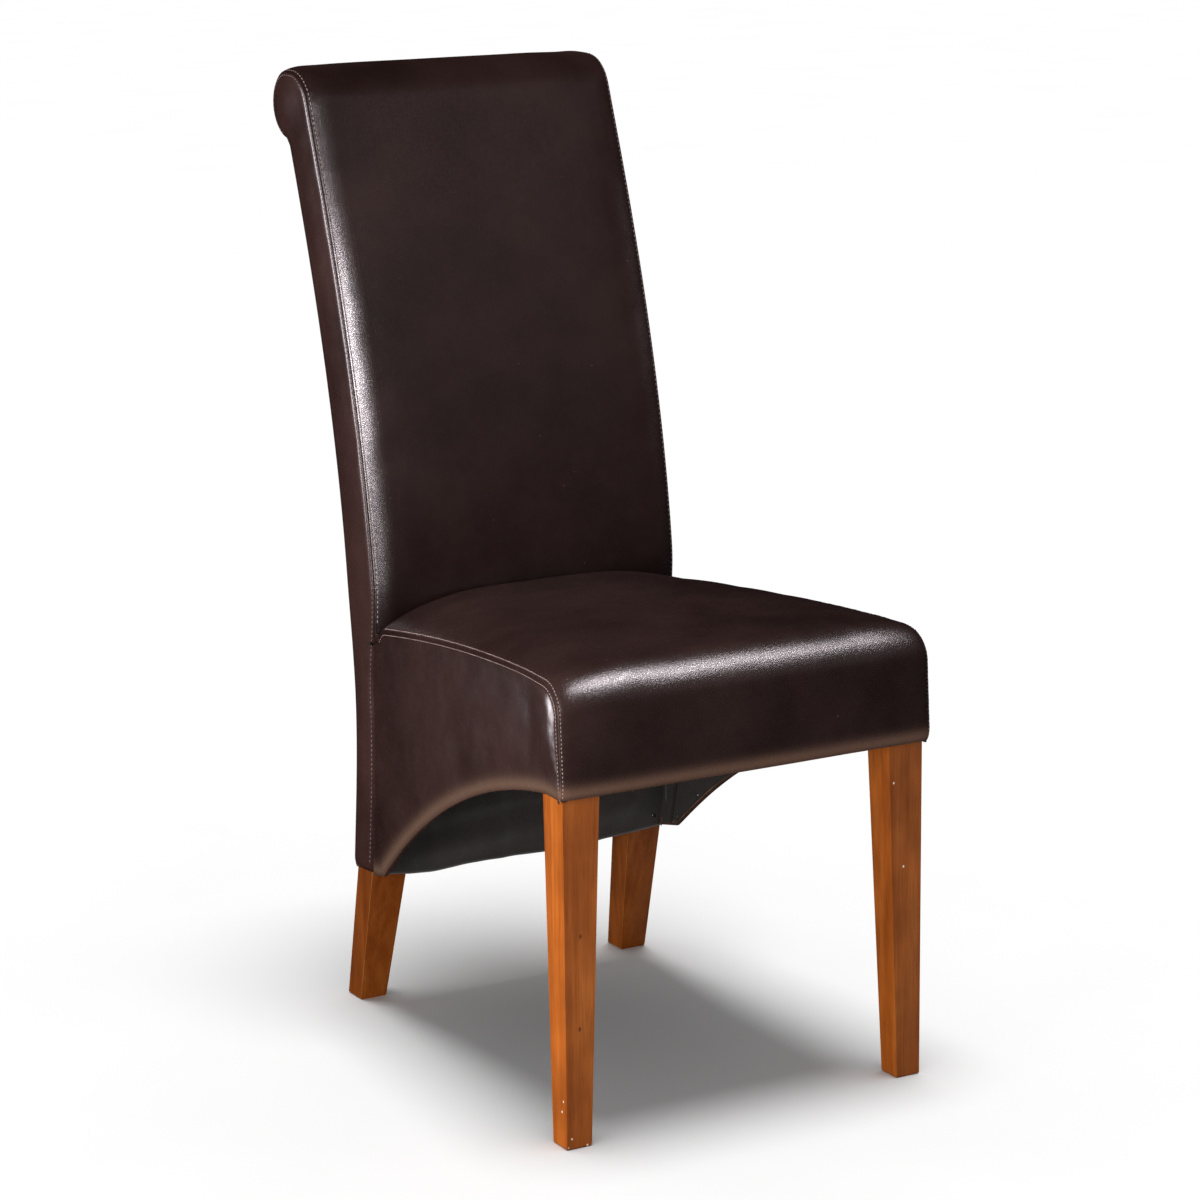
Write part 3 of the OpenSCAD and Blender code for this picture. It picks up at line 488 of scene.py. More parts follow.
def wood_material(name, tones, knots=(), chips=(), rough=0.34, coat=0.08):
    """Wood: streaks along z, cloudy figure, pores, and small knots and chips at given places."""
    m = Material(name)
    streaks = m.noise(m.place((150, 150, 4.5)), 1.0, 6.0, 0.62, 0.35)
    broad = m.noise(m.place((34, 34, 2.2)), 1.0, 3.0, distortion=0.8)
    pores = m.noise(m.place((900, 900, 30)), 1.0, 3.0)
    figure = m.noise(m.place((26, 26, 14)), 1.0, 2.0)
    mixed = m.plus(m.times(streaks, 0.55), m.times(broad, 0.45))
    tone = m.ramp(mixed, *zip((0.3, 0.5, 0.72), tones))
    shade = m.ramp(figure, (0.28, (0.7, 0.64, 0.6)), (0.7, (1.14, 1.12, 1.1)))
    tone = m.tint(0.8, tone, shade, "MULTIPLY")
    line = m.ramp(pores, (0.36, (0.72, 0.66, 0.6)), (0.48, (1, 1, 1)))
    tone = m.tint(0.55, tone, line, "MULTIPLY")
    for places, radius, colour, tall in ((knots, 0.0022, (0.05, 0.016, 0.006), 1.6),
                                         (chips, 0.0013, (0.86, 0.8, 0.68), 1.2)):
        for centre in places:
            offset = m.add("VectorMath", {0: m.at, 1: centre}, operation="SUBTRACT")[0]
            offset = m.add("VectorMath", {0: offset, 1: (1, 1, 1 / tall)},
                           operation="MULTIPLY")[0]
            far = m.add("VectorMath", {0: offset}, operation="LENGTH")["Value"]
            far = m.plus(far, m.times(pores, radius * 0.8))
            tone = m.tint(m.span(far, 1.0, 0.0, radius * 0.6, radius * 1.5), tone, colour)
    height = m.plus(m.times(streaks, 0.6), m.times(pores, 0.4))
    return m.shade({"Base Color": tone, "Specular IOR Level": 0.28, "Coat Weight": coat,
                    "Roughness": m.span(streaks, rough - 0.06, rough + 0.1, 0.3, 0.7),
                    "Coat Roughness": 0.2, "Normal": m.bump(height, 0.22, 0.0006)})


def cloth_material(name, dark, light, scale=900.0):
    """Non-woven or woven cloth: crossed fine ribs, fibre noise and dusty clouding."""
    m = Material(name)
    wave = {"Vector": m.at, "Scale": scale, "Distortion": 1.5, "Detail": 1.0}
    ribs, cross = (m.add("TexWave", wave, bands_direction=way)["Fac"] for way in "XZ")
    fibres = m.noise(m.place((500, 500, 180)), 1.0, 5.0)
    amount = m.plus(m.times(m.times(ribs, cross), 0.35), m.times(fibres, 0.5))
    amount = m.plus(amount, m.times(m.noise(m.at, 14.0, 5.0, 0.6), 0.45))
    return m.shade({"Base Color": m.ramp(amount, (0.3, dark), (0.85, light)), "Roughness": 0.9,
                    "Sheen Weight": 0.25, "Normal": m.bump(amount, 0.4, 0.0003)})


def thread_material(name, dark, light):
    """Spun thread: a twist of light and dark along each stitch, soiled in places."""
    m = Material(name)
    twist = m.add("TexWave", {"Vector": m.place(rotation=(0.6, 0.7, 0.5)), "Scale": 1400.0,
                              "Distortion": 2.0})["Fac"]
    tone = m.ramp(twist, (0.2, dark), (0.8, light))
    soil = m.ramp(m.noise(m.at, 60.0, 3.0), (0.35, (0.62, 0.56, 0.56)), (0.65, (1, 1, 1)))
    return m.shade({"Base Color": m.tint(1.0, tone, soil, "MULTIPLY"), "Roughness": 0.55,
                    "Sheen Weight": 0.2})


def steel_material(name):
    """Zinc-plated steel, brushed along z, with duller patches."""
    m = Material(name)
    brushed = m.noise(m.place((1500, 1500, 120)), 1.0, 4.0)
    stain = m.noise(m.at, 130.0, 3.0)
    tone = m.ramp(stain, (0.35, (0.36, 0.36, 0.38)), (0.65, (0.66, 0.66, 0.68)))
    return m.shade({"Base Color": tone, "Metallic": 1.0, "Roughness": m.span(brushed, 0.25, 0.5),
                    "Normal": m.bump(brushed, 0.2, 0.0002)})


# dark and light colours, the hems' rub and painted highlight colour, grain and the range of
# roughness
BROWN = ((0.0138, 0.0066, 0.0058), (0.024, 0.0122, 0.0108), (0.115, 0.062, 0.042), 1.0,
         (0.175, 0.245))
HIDE = leather_material("leather_front", *BROWN)
BACK_HIDE = leather_material("leather_back", *BROWN, polished=True)
SIDE_HIDE = leather_material("leather_side", (0.0265, 0.0108, 0.009), (0.046, 0.0195, 0.0165),
                             (0.15, 0.086, 0.058), 0.2, (0.22, 0.27))
THREAD = thread_material("thread_pale", (0.36, 0.25, 0.24), (0.7, 0.55, 0.52))
# Dark thread: the strips' own rows, and the right-hand rows as painted shade.
DARK_AND_SHADED_THREAD = thread_material("thread_dark_and_painted_shade", (0.17, 0.11, 0.12), (0.36, 0.27, 0.28))
CLOTH = cloth_material("lining_black", (0.007, 0.0052, 0.0045), (0.034, 0.0255, 0.021))
STRAP = cloth_material("webbing_weave", (0.3, 0.26, 0.2), (0.62, 0.56, 0.44), 420.0)
PINE = (0.42, 0.28, 0.15), (0.6, 0.44, 0.26), (0.74, 0.58, 0.38)
FRAME_WOOD = wood_material("frame_pine", PINE, rough=0.6, coat=0.0)
BOARD = wood_material("board_brown", ((0.16, 0.09, 0.045), (0.28, 0.17, 0.09), (0.38, 0.25, 0.14)),
                      rough=0.65, coat=0.0)
STEEL = steel_material("zinc_steel")

# -------- the seat
ROW = 3.3  # rows of stitches stand this far from their seams
# How far from a seam the columns of a grid stand, closest where the seam's form needs them
NEAR = np.array([0.12, 0.45, 0.8, 1.2, 1.7, 2.3, 2.8, ROW, 3.8, 4.4, 5.2, 6.4, 8.0, 10.0, 12.5])
CORNER_IN, CORNER_DOWN = 1.2, 2.1  # where the seat's side seams lie, in from both faces
HEM_ROLL, HEM_IN = 15.0, 5.0  # height and depth of the front hem's turn
TUCK, TUCK_Z = 22.0, 442.0  # the seat turns down into the back over this length, to this height
BACK_ROUND, BACK_DROP = 26, 8.0  # width and drop of the back's rounded side edges


def seat_line(rear_z, front_z, rear_slope, r, front_y, bottom_y):
    """Points (y, z) of a line over the seat, from the rear edge to the front hem's start."""
    arc_y, arc_z = front_y + r, front_z - r
    top = np.linspace(SEAT_REAR, arc_y, 92)
    z = hermite((arc_y, front_z), (SEAT_REAR, rear_z), 0, rear_slope, top)
    a = np.linspace(0, pi / 2, 20)[1:]
    arc = np.stack([arc_y - r * np.sin(a), arc_z + r * np.cos(a)], 1)
    fz = np.linspace(arc_z, COVER_BOTTOM + HEM_ROLL, 26)[1:]
    face = np.stack([mix(front_y, bottom_y, (arc_z - fz) / (arc_z - COVER_BOTTOM)), fz], 1)
    return np.concatenate([np.stack([top, z], 1), arc, face])


SEAM = seat_line(459, 499, -0.17, 36, -5.5, -10.5)
MIDDLE = seat_line(494, 510, -0.12, 38, -9.5, -12)


def corner_round(y):
    """1 at the front, where the seat's corners are rounder, and 0 further back."""
    return smooth((90 - y) / 80)


def seat_top():
    """Grid of the seat's top and front: rows run from the back down to the front hem."""
    half = side_x(SEAM[:, 0]) - CORNER_IN
    inner = np.linspace(0, 1, 46)[1:]**0.9
    near = np.repeat(NEAR[None], len(half), 0)
    off = np.concatenate([near, NEAR[-1] + (half[:, None] - NEAR[-1]) * inner[None]], axis=1)
    x = both_sides(half[:, None], off)
    s = np.abs(x) / half[:, None]
    # the crown is broad at the front and rounder at the rear
    power = mix(7, 3.4, smooth(SEAM[:, 0] / SIDE_END))[:, None]
    k = (1 - s**power)[..., None]
    p = mix(SEAM[:, None], MIDDLE[:, None], k)
    n = mix(line_normals(SEAM)[:, None], line_normals(MIDDLE)[:, None], k)
    n = unit(n)
    x *= (side_x(p[..., 0]) - CORNER_IN) / half[:, None]
    d = side_x(p[..., 0]) - np.abs(x)
    at_front = corner_round(p[..., 0])
    drop = shoulder(d, mix(11, 18, at_front), mix(4.0, 7.0, at_front)) + seam_dip(d - CORNER_IN)
    to_rear = np.clip((p[..., 0] - (SEAT_REAR - TUCK)) / TUCK, 0, 0.995)
    drop = drop + 15 * (1 - np.sqrt(1 - to_rear**2))
    flat = grid(x, p[..., 0], p[..., 1])
    drop = drop + 0.35 * ripple(flat, 90, 3) * np.clip(d / 40, 0, 1)
    pull = 0.28 * ripple(flat[..., 1:2] + flat[..., 2:3], 13, 5) * bell(d - 7, 6)
    p = p - n * (drop + pull)[..., None]
    p = grid(x, p[..., 0], p[..., 1])
    # behind, the leather goes on down between seat and back
    tucked = []
    for share in (1.0, 0.72, 0.4, 0.15):
        q = p[0].copy()
        q[:, 2] = mix(q[:, 2] - 2, np.minimum(TUCK_Z, q[:, 2] - 4), share)
        bow = 3.0 * (1 - np.clip(np.abs(x[0]) / BACK_HALF, 0, 1)**4)
        face = front_line(q[:, 2]) - bow + shoulder(BACK_HALF - np.abs(x[0]), BACK_ROUND, BACK_DROP)
        q[:, 1] = np.maximum(face - 0.9, q[:, 1] + 0.4)
        tucked.append(q)
    roll = turned_under(p[-1], 8, HEM_IN, HEM_ROLL, 0.004)
    flap = roll[-1] * [1, 0, 1] + [0, -0.5, 0.25]
    p = np.concatenate([tucked, p, roll, [flap]])
    hold = bell(np.minimum(side_x(p[..., 1]) - np.abs(p[..., 0]), 60), 7)
    hold = np.maximum(hold, smooth((p[..., 1] - 440) / 20))
    return p + settle(p, 1.2, 2.2, hold)


# The front hem's lighter band: partly rub, partly a painted highlight.
def front_hem_rub_and_highlight(p):
    up = p[:, 2] - COVER_BOTTOM
    low = bell(np.clip(up - 7, 0, None), 8) * (0.55 + 0.45 * smooth(up / 7))
    return 0.85 * low * (p[:, 1] < 60)


top = seat_top()
seat = leather("seat_leather", top, True, HIDE, edges="cCr", hem=front_hem_rub_and_highlight)
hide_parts("seat_cover", "seat_foam", "front_padding")


# -------- the seat's padded sides
TOP_EDGE = SEAM - line_normals(SEAM) * (CORNER_DOWN + 2.3 * corner_round(SEAM[:, :1]))
SEAM_PATH = np.concatenate([TOP_EDGE, [[TOP_EDGE[-1, 0] - 0.9, COVER_BOTTOM - 1]]])
# The seam drops away where it meets the back's strip
SEAM_PATH[:, 1] -= 13 * smooth((SEAM_PATH[:, 0] - (SEAT_REAR - TUCK)) / TUCK)**1.5
REAR_LAP = 5.2  # the sides run this far past the back's front line, up to the strips
ARCH_Y = np.linspace(-30, HEM_FRONT, 160)
ARCH_PATH = np.stack([ARCH_Y, arch_z(ARCH_Y)], 1)
REAR_PATH = upright(front_line, np.linspace(HEM_H, 470, 80), REAR_LAP)
SIDE_HEM, SIDE_HEM_IN, HEM_END = 17.0, 1.6, 7.75  # the hem's height and drop, how far in it ends


def side_depth(y, z):
    """How far the padded side lies in from its plane at (y, z)."""
    flat = np.stack([np.ravel(y), np.ravel(z)], 1)
    to_seam = line_distance(flat, SEAM_PATH)
    to_arch = line_distance(flat, ARCH_PATH)
    to_rear = line_distance(flat, REAR_PATH)
    # the padding is fullest at the front's upper corner
    full = smooth((70 - flat[:, 0]) / 60) * smooth((flat[:, 1] - 395) / 50)
    wide, deep = mix(8, 22, full), mix(4.2, 7.5, full)
    depth = shoulder(to_seam + CORNER_DOWN, wide, deep) - shoulder(CORNER_DOWN, wide, deep)
    depth += shoulder(CORNER_DOWN, 8, 4.2) + seam_dip(to_seam)
    depth += shoulder(to_arch, SIDE_HEM, SIDE_HEM_IN) + shoulder(to_rear + 0.8, 13, 4.6)
    crown = np.minimum(np.minimum(to_seam, to_arch), to_rear)
    depth += 1.6 * (1 - smooth(crown / 60))
    xyz = np.pad(flat, ((0, 0), (0, 1)))
    depth += 0.3 * ripple(xyz, 120, 11) * smooth(crown / 30)
    depth += 0.15 * ripple(xyz, 14, 12) * bell(to_seam - 8, 7)
    return depth.reshape(np.shape(y))


def seat_side():
    """Grid of the left side: rows run from the seam down to the arch, columns to the front."""
    # the seam over the top, without its run down the front
    line = resample(SEAM_PATH[SEAM_PATH[:, 1] > 472 - 20 * (SEAM_PATH[:, 0] > 60)], step=2.2)
    line = line[(line[:, 0] > 60) | (line[:, 1] > 474)]
    corner = resample(line[line[:, 0] < 33], count=42)
    main = resample(line[line[:, 0] >= 33], step=7)
    y, z = float(front_line(main[0, 1])) + REAR_LAP, main[0, 1]
    rear = [[mix(y, main[0, 0], t), z] for t in (0, 0.12, 0.3, 0.6)]
    line = np.concatenate([rear, main, corner[1:]])
    front_y, low_rear = corner[-1, 0], HEM_FRONT + REAR_LAP
    share = (line[:, 0] - front_y) / (line[0, 0] - front_y)
    low_y = mix(front_y, low_rear, share)
    low_z = arch_z(low_y)
    phi = np.linspace(0, pi / 2, 13)
    z = np.array([line[:, 1] - h for h in (0.0, *NEAR[1:])]
                 + [mix(line[:, 1] - NEAR[-1], low_z + SIDE_HEM, b)
                    for b in np.linspace(0, 1, 34)[1:-1]]
                 + [low_z + t for t in SIDE_HEM * (1 - np.sin(phi)) + 0.3 * np.sin(phi)**6])
    v = (line[:, 1] - z) / (line[:, 1] - low_z)
    y = mix(line[:, 0], low_y, v)
    y = y + share**8 * (front_line(z) + REAR_LAP - mix(line[0, 0], low_rear, v))
    y = y - 5.0 * v * (1 - share)**12
    p = grid(-side_x(y, side_depth(y, z)), y, z)
    # the hem turns in round the board's edge, and stops at the front leg where that stands
    hem = p[-1]
    inner = side_x(hem[:, 1], HEM_END)
    inner = np.where(hem[:, 1] < LEG_D + 2, np.maximum(inner, LEG_OUTER + 0.2), inner)
    under = [np.stack([-mix(-hem[:, 0], inner, turn), hem[:, 1], hem[:, 2] + rise], 1)
             for turn, rise in ((0.05, -0.5), (0.16, -0.85), (0.35, -1.0), (0.6, -1.0),
                                (0.85, -0.9), (1.0, -0.5), (1.03, 0.8), (1.03, 2.0))]
    p = np.concatenate([p, under])
    gap = line_distance(p[..., 1:].reshape(-1, 2), np.concatenate([SEAM_PATH, REAR_PATH]))
    hold = np.maximum(bell(gap.reshape(p.shape[:2]), 8), p[..., 2] < hem[:, 2] + 20)
    p = p + settle(p, 0.8, 1.6, hold)
    return np.concatenate([p, p[:, -1:] + [ALLOWANCE, 0, 0]], axis=1)


# The side arch hem's lighter band: partly rub, partly a painted highlight.
def side_hem_rub_and_highlight(p):
    y, z = p[:, 1], p[:, 2]
    far = line_distance(np.stack([y, z], 1), ARCH_PATH)
    # the band fades on the turned-under edge, as painted shade there
    turned = smooth((arch_z(y) + 0.3 - z) / 0.8)
    rub_and_highlight = 0.92 * bell(np.clip(far - 5, 0, None), 9) * (0.5 + 0.5 * smooth(far / 6))
    return rub_and_highlight * (1 - 0.75 * turned)


def side_pair(name, replaced, points, edges, hem=None):
    """The left side's skin and its mirror image on the right."""
    skins = []
    for hand, p, flip in (("left", points, True), ("right", mirrored(points), False)):
        skin = leather(f"{name}_{hand}_leather", p, flip, SIDE_HIDE, edges=edges, hem=hem)
        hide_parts(f"{replaced}_{hand}")
        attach(skin, "root")
        skins.append(skin)
    return skins


side_skins = side_pair("seat_side", "seat_side_cover", seat_side(), "rc", side_hem_rub_and_highlight)


# -------- the back
BACK_SEAM_IN, BACK_SEAM_DOWN = 1.6, 5.3  # where the back's seams lie, in from the side and front
BACK_LOW, STRIP_LOW = 446.0, HEM_H + 1.5  # lower edges of the back's front and its strips
NECK_ROWS = 150  # points on the strips' rear edges up to the neck


def front_outline():
    """The back's front line (y, z), from the neck behind the roll, over the roll and down."""
    a = np.radians(np.linspace(-83, 90, 54))
    rear = np.stack([ROLL_Y + ROLL_R * np.cos(a), ROLL_Z + ROLL_R * np.sin(a)], 1)
    b = np.radians(np.linspace(90, 160, 24)[1:])
    over = np.stack([FRONT_Y + FRONT_R * np.cos(b), FRONT_Z + FRONT_R * np.sin(b)], 1)
    down = upright(front_line, np.linspace(TANGENT_Z - 5, BACK_LOW, 110))
    return np.concatenate([rear, over, down])


OUTLINE = front_outline()
ROLL_TOP = int(np.argmax(OUTLINE[:, 1]))


def back_columns(near, count, width):
    """A back panel's columns: x, how far in from the side they stand, and how far they drop."""
    half = BACK_HALF - BACK_SEAM_IN
    x = both_sides(half, np.concatenate([near, np.linspace(near[-1], half, count)[1:]]))
    d = BACK_HALF - np.abs(x)
    return x, d, shoulder(d, width, BACK_DROP) + seam_dip(d - BACK_SEAM_IN)


def back_front():
    """Grid of the back's front: rows run along OUTLINE."""
    n = line_normals(OUTLINE)[:, None]
    x, d, drop = back_columns(np.concatenate([NEAR, [15.5, 19, 23, 28]]), 34, BACK_ROUND)
    crown = mix(3.0, 1.0, smooth((OUTLINE[:, 1] - 810) / (ROLL_Z - 810)))
    bow = crown[:, None] * (1 - (np.abs(x) / (BACK_HALF - BACK_SEAM_IN))**4)
    bow = bow * smooth((np.arange(len(OUTLINE)) - 6) / 30)[:, None]
    face = OUTLINE[:, None] + n * (bow - drop)[..., None]
    p = grid(x, face[..., 0], face[..., 1])
    soft = 0.3 * ripple(p, 120, 21) * np.clip((d - 8) / 40, 0, 1)
    soft = soft + 0.22 * ripple(p[..., 2:3], 12, 22) * bell(d - 8, 6)
    p[..., 1:] -= n * soft[..., None]
    hold = np.maximum(bell(d - BACK_SEAM_IN, 9), p[..., 2] < 500)
    return p + settle(p, 1.0, 2.0, hold)


def seam_polish(p):
    """The leather shines most along its side seams, halfway up."""
    z = p[:, 2]
    gleam = mix(0.5, 1.9, smooth((1000 - z) / 220)) * mix(0.52, 1.0, smooth((z - 590) / 150))
    return mix(gleam, 0.22, smooth((BACK_HALF - np.abs(p[:, 0]) - 10) / 18))


front = back_front()
back = leather("back_leather", front, True, BACK_HIDE, edges="cCr", polish=seam_polish)
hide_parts("back_cover_front", "back_foam", "roll_foam")


# Side strips: between the front and rear outlines, with the roll's round end
def strip_lines():
    """The strip's front edge and its rear edge, from the hem up to the roll's top."""
    up = upright(front_line, np.linspace(STRIP_LOW, BACK_LOW, 60))
    down = upright(rear_line, np.linspace(STRIP_LOW, NECK_Z, NECK_ROWS), REAR_FULL)
    return (np.concatenate([up, OUTLINE[ROLL_TOP:][::-1][1:]]),
            np.concatenate([down, OUTLINE[1:ROLL_TOP + 1]]))


STRIP_FRONT, STRIP_REAR = strip_lines()
EDGE = np.concatenate([STRIP_FRONT, STRIP_REAR[::-1]])


def strip_depth(y, z):
    """How far the side strip's face lies in from BACK_HALF at (y, z); negative where proud."""
    flat = np.stack([np.ravel(y), np.ravel(z)], 1)
    d = line_distance(flat, EDGE)
    to_roll = np.hypot(flat[:, 0] - ROLL_Y, flat[:, 1] - ROLL_Z)
    depth = shoulder(d, 16, BACK_DROP) + seam_dip(np.maximum(d - BACK_SEAM_DOWN, 0))
    depth -= 1.2 * smooth((d - 6) / 30) + 2.8 * smooth(1 - to_roll / 38)
    xyz = np.pad(flat, ((0, 0), (0, 1)))
    depth += 0.3 * ripple(xyz, 60, 31) * smooth((d - 4) / 14)
    depth += shoulder(np.clip(flat[:, 1] - HEM_H, 0, 99), 12, 3.4)
    return depth.reshape(np.shape(y))


def back_strip():
    """Grid of the left strip: rows run up from the hem and over the roll's end, columns to the
    rear."""
    up = STRIP_FRONT + line_normals(STRIP_FRONT) * BACK_SEAM_DOWN
    down = STRIP_REAR - line_normals(STRIP_REAR) * BACK_SEAM_DOWN
    # pair the two edges by height below the neck, and by length round the roll above it
    zs = np.concatenate([np.linspace(STRIP_LOW, 470, 60), np.linspace(476, NECK_Z - 6, 80)])
    lower = up[up[:, 1] < 1045]
    edges = []
    for part in (lower[np.argsort(lower[:, 1])], down[:NECK_ROWS]):
        edges.append(np.stack([np.interp(zs, part[:, 1], part[:, 0]), zs], 1))
    k = np.argmin(np.abs(up[:, 1] - (NECK_Z - 4)) + 1000 * (up[:, 0] > ROLL_Y))
    front_edge = np.concatenate([edges[0], resample(up[k:], count=46)])
    rear_edge = np.concatenate([edges[1], resample(down[NECK_ROWS - 1:], count=46)])
    near = np.concatenate([NEAR, [16, 20]])
    rows = []
    for a, b in zip(front_edge, rear_edge):
        length = np.linalg.norm(b - a)
        left = np.concatenate([[0], near * min(1.0, length / 60) / max(length, 1e-6)])
        centre = np.linspace(left[-1], 1 - left[-1], 9)[1:-1]
        share = np.concatenate([left, centre, 1 - left[::-1]])
        rows.append(a + (b - a) * share[:, None])
    y, z = np.moveaxis(np.array(rows), 2, 0)
    return grid(-(BACK_HALF - strip_depth(y, z)), y, z)


strip_skins = side_pair("back_strip", "back_gusset", back_strip(), "cC")


def back_rear():
    """Grid of the back's rear: rows run from the neck down to the skirt's hem."""
    line = upright(rear_line, np.linspace(NECK_Z + 7.5, HEM_H + 12, 156), REAR_FULL)
    x, d, drop = back_columns(NEAR, 30, 20)
    p = grid(x, line[:, :1], line[:, 1:])
    soft = drop + 0.4 * ripple(p, 110, 41) * np.clip((d - 8) / 40, 0, 1)
    p[..., 1:] += line_normals(line)[:, None] * soft[..., None]
    roll = turned_under(p[-1], 7, -5, 12)
    return np.concatenate([p, roll, [roll[-1] + [0, -4 - REAR_FULL, 0.3]]])


# The rear hem's lighter band: partly rub, partly a painted highlight.
def rear_hem_rub_and_highlight(p):
    return 0.6 * smooth((HEM_H + 20 - p[:, 2]) / 22)


rear = leather("back_rear_leather", back_rear(), False, HIDE, edges="cC", hem=rear_hem_rub_and_highlight)
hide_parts("back_cover_rear")

# -------- stitches
ROW_COLUMN = int(np.where(NEAR == ROW)[0][0])


def grid_row(p, rows):
    """A row of stitches beside a grid's left seam: points and normals."""
    return p[rows, ROW_COLUMN], normals(p, True)[rows, ROW_COLUMN]


def side_row(line, depth_of, plane, distance):
    """A row of stitches at a distance inside a seam, on a side given by its depth function."""
    q = line - line_normals(line) * distance

    def at(y, z):
        return np.stack([-plane(y, depth_of(y, z)), y, z], 1)

    here = at(q[:, 0], q[:, 1])
    dy, dz = at(q[:, 0] + 0.5, q[:, 1]) - here, at(q[:, 0], q[:, 1] + 0.5) - here
    up = np.cross(dz, dy)
    return here, unit(up * np.sign(-up[:, :1]))


def strip_plane(y, depth):
    return BACK_HALF - depth


seam_part = resample(SEAM_PATH[SEAM_PATH[:, 1] > COVER_BOTTOM - 2], step=2.0)[3:]
strip_part = resample(np.concatenate([STRIP_FRONT[2:], OUTLINE[3:ROLL_TOP][::-1]]), step=2.0)
seat_rows = [grid_row(top, slice(8, -4)), side_row(seam_part, side_depth, side_x, ROW)]
strip_row = side_row(strip_part, strip_depth, strip_plane, -(BACK_SEAM_DOWN + ROW))
for name, rows, material, pitch in (
        ("seat_stitches", seat_rows, THREAD, 4.3),
        ("back_stitches", [grid_row(front, slice(22, -3))], THREAD, 5.6),
        ("strip_stitches", [strip_row], DARK_AND_SHADED_THREAD, 5.6)):
    for hand, some, colour in (
            ("left", rows, material),
            # the right-hand rows take the dark thread as painted shade
            ("right", [[mirrored(v) for v in row] for row in rows], DARK_AND_SHADED_THREAD)):
        thread = stitches(f"{name}_{hand}", some, colour, pitch)
        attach(thread, "root")

for piece in (seat, back, rear):
    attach(piece, "root")


# -------- linings, dust cover and webbing
def post_front_line(z):
    return np.where(z < KNEE_H, mix(FOOT_FRONT, POST_FRONT, z / KNEE_H), POST_FRONT)


def node_points(name):
    """The points of a CAD node, in mm in the source's coordinates."""
    data = frame["nodes"][name].data.vertices
    co = np.zeros(len(data) * 3, np.float32)
    data.foreach_get("co", co)
    return co.reshape(-1, 3).astype(float) * 1000 + [0, Y_MID, 0]


lined = node_points("side_lining_left")
LINING_DEPTH = float(((side_x(lined[:, 1]) - np.abs(lined[:, 0])) * SIDE_COS).max())
RAIL_LOW = float(node_points("dust_cover")[:, 2].max())
CLOTH_FRONT, CLOTH_REAR = 5, POST_FRONT - 2.2  # from front to rear, inside the seat frame
FLAP_AT = 189.5  # the rear lining turns forward this far from the middle


def rear_lining():
    """Cloth over the rear posts' front faces, with a flap along each side's board."""
    flap = np.array([26, 20, 14, 9, 5, 2.4, 0.8])
    along = np.concatenate([-FLAP_AT - flap, np.linspace(-189, 189, 110), FLAP_AT + flap[::-1]])
    turned = np.clip(np.abs(along) - FLAP_AT, 0, None)
    x = np.sign(along) * np.minimum(np.abs(along), FLAP_AT)
    low = 161.5 - 8.0 * (1 - np.abs(x / 190)**2.4) - 4.0 * bell(x + 118, 34)
    low = low - 2.0 * bell(x - 60, 40) + 0.42 * turned
    z = mix(RAIL_LOW - 1.0, low, np.linspace(0, 1, 60)[:, None])
    p = grid(x, post_front_line(z) - 0.9, z)
    sag = 2.0 * ripple(p, 170, 51) + 1.3 * ripple(p, 48, 52)
    free = 1 - smooth((np.abs(p[..., 0]) - 140) / 22)
    belly = 3.2 * bell(z - 186 - 0.05 * p[..., 0], 15) - 1.6 * bell(z - 214 - 0.1 * p[..., 0], 10)
    creased = 0.5 * np.abs(ripple(p, 60, 53)) * (turned > 3)
    p[..., 1] += free * (2.0 + sag - belly) - turned - creased
    return p


def side_lining():
    """Cloth tacked inside the left side's board, from behind the front leg to the rear lining."""
    y = np.linspace(82, CLOTH_REAR, 80)
    low = arch_z(y) + 3.0 + 0.8 * ripple(y[:, None], 45, 61)
    z = mix(RAIL_LOW - 1.0, low, np.linspace(0, 1, 40)[:, None])
    p = grid(-side_x(y, LINING_DEPTH), y, z)
    near = np.minimum(z - low, RAIL_LOW - z)
    p[..., 0] += (0.9 + 0.9 * ripple(p, 90, 62)) * smooth(near / 30)
    return p


def dust_cover():
    """Cloth under the seat frame, cut back round the front legs and sagging a little."""
    y = np.concatenate([np.linspace(CLOTH_FRONT, LEG_D + 1.3, 9),
                        np.linspace(LEG_D + 1.5, CLOTH_REAR, 70)])[:, None]
    half = np.where(y < LEG_D + 1.4, LEG_INNER - 1.2, side_x(y, LINING_DEPTH + 0.9))
    u = np.linspace(-1, 1, 70)
    p = grid(half * u, y, RAIL_LOW - 0.75)
    edge = np.minimum(half * (1 - np.abs(u)), np.minimum(y - CLOTH_FRONT, CLOTH_REAR - y))
    p[..., 2] -= smooth((edge - 20) / 90) * (3.0 + 0.9 * ripple(p, 110, 71))
    return p


for node, points, flip, flat, *rests in (
        ("rear_lining", rear_lining(), True, (0.431, 0.23),
         "rear_leg_left", "rear_leg_right", "rear_rail"),
        ("side_lining_left", side_lining(), True, (0.405, 0.216), "skirt_panel_left"),
        ("side_lining_right", mirrored(side_lining()), False, (0.405, 0.216), "skirt_panel_right"),
        ("dust_cover", dust_cover(), True, (0.43, 0.48),
         "front_rail", "side_rail_left", "side_rail_right", "rear_rail")):
    sheet = leather(node + "_cloth", points, flip, CLOTH, thickness=0.6)
    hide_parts(node)
    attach(sheet, "root")

STRAP_W, STRAP_T = 50, 1.5  # width of the webbing, and its thickness in the solids


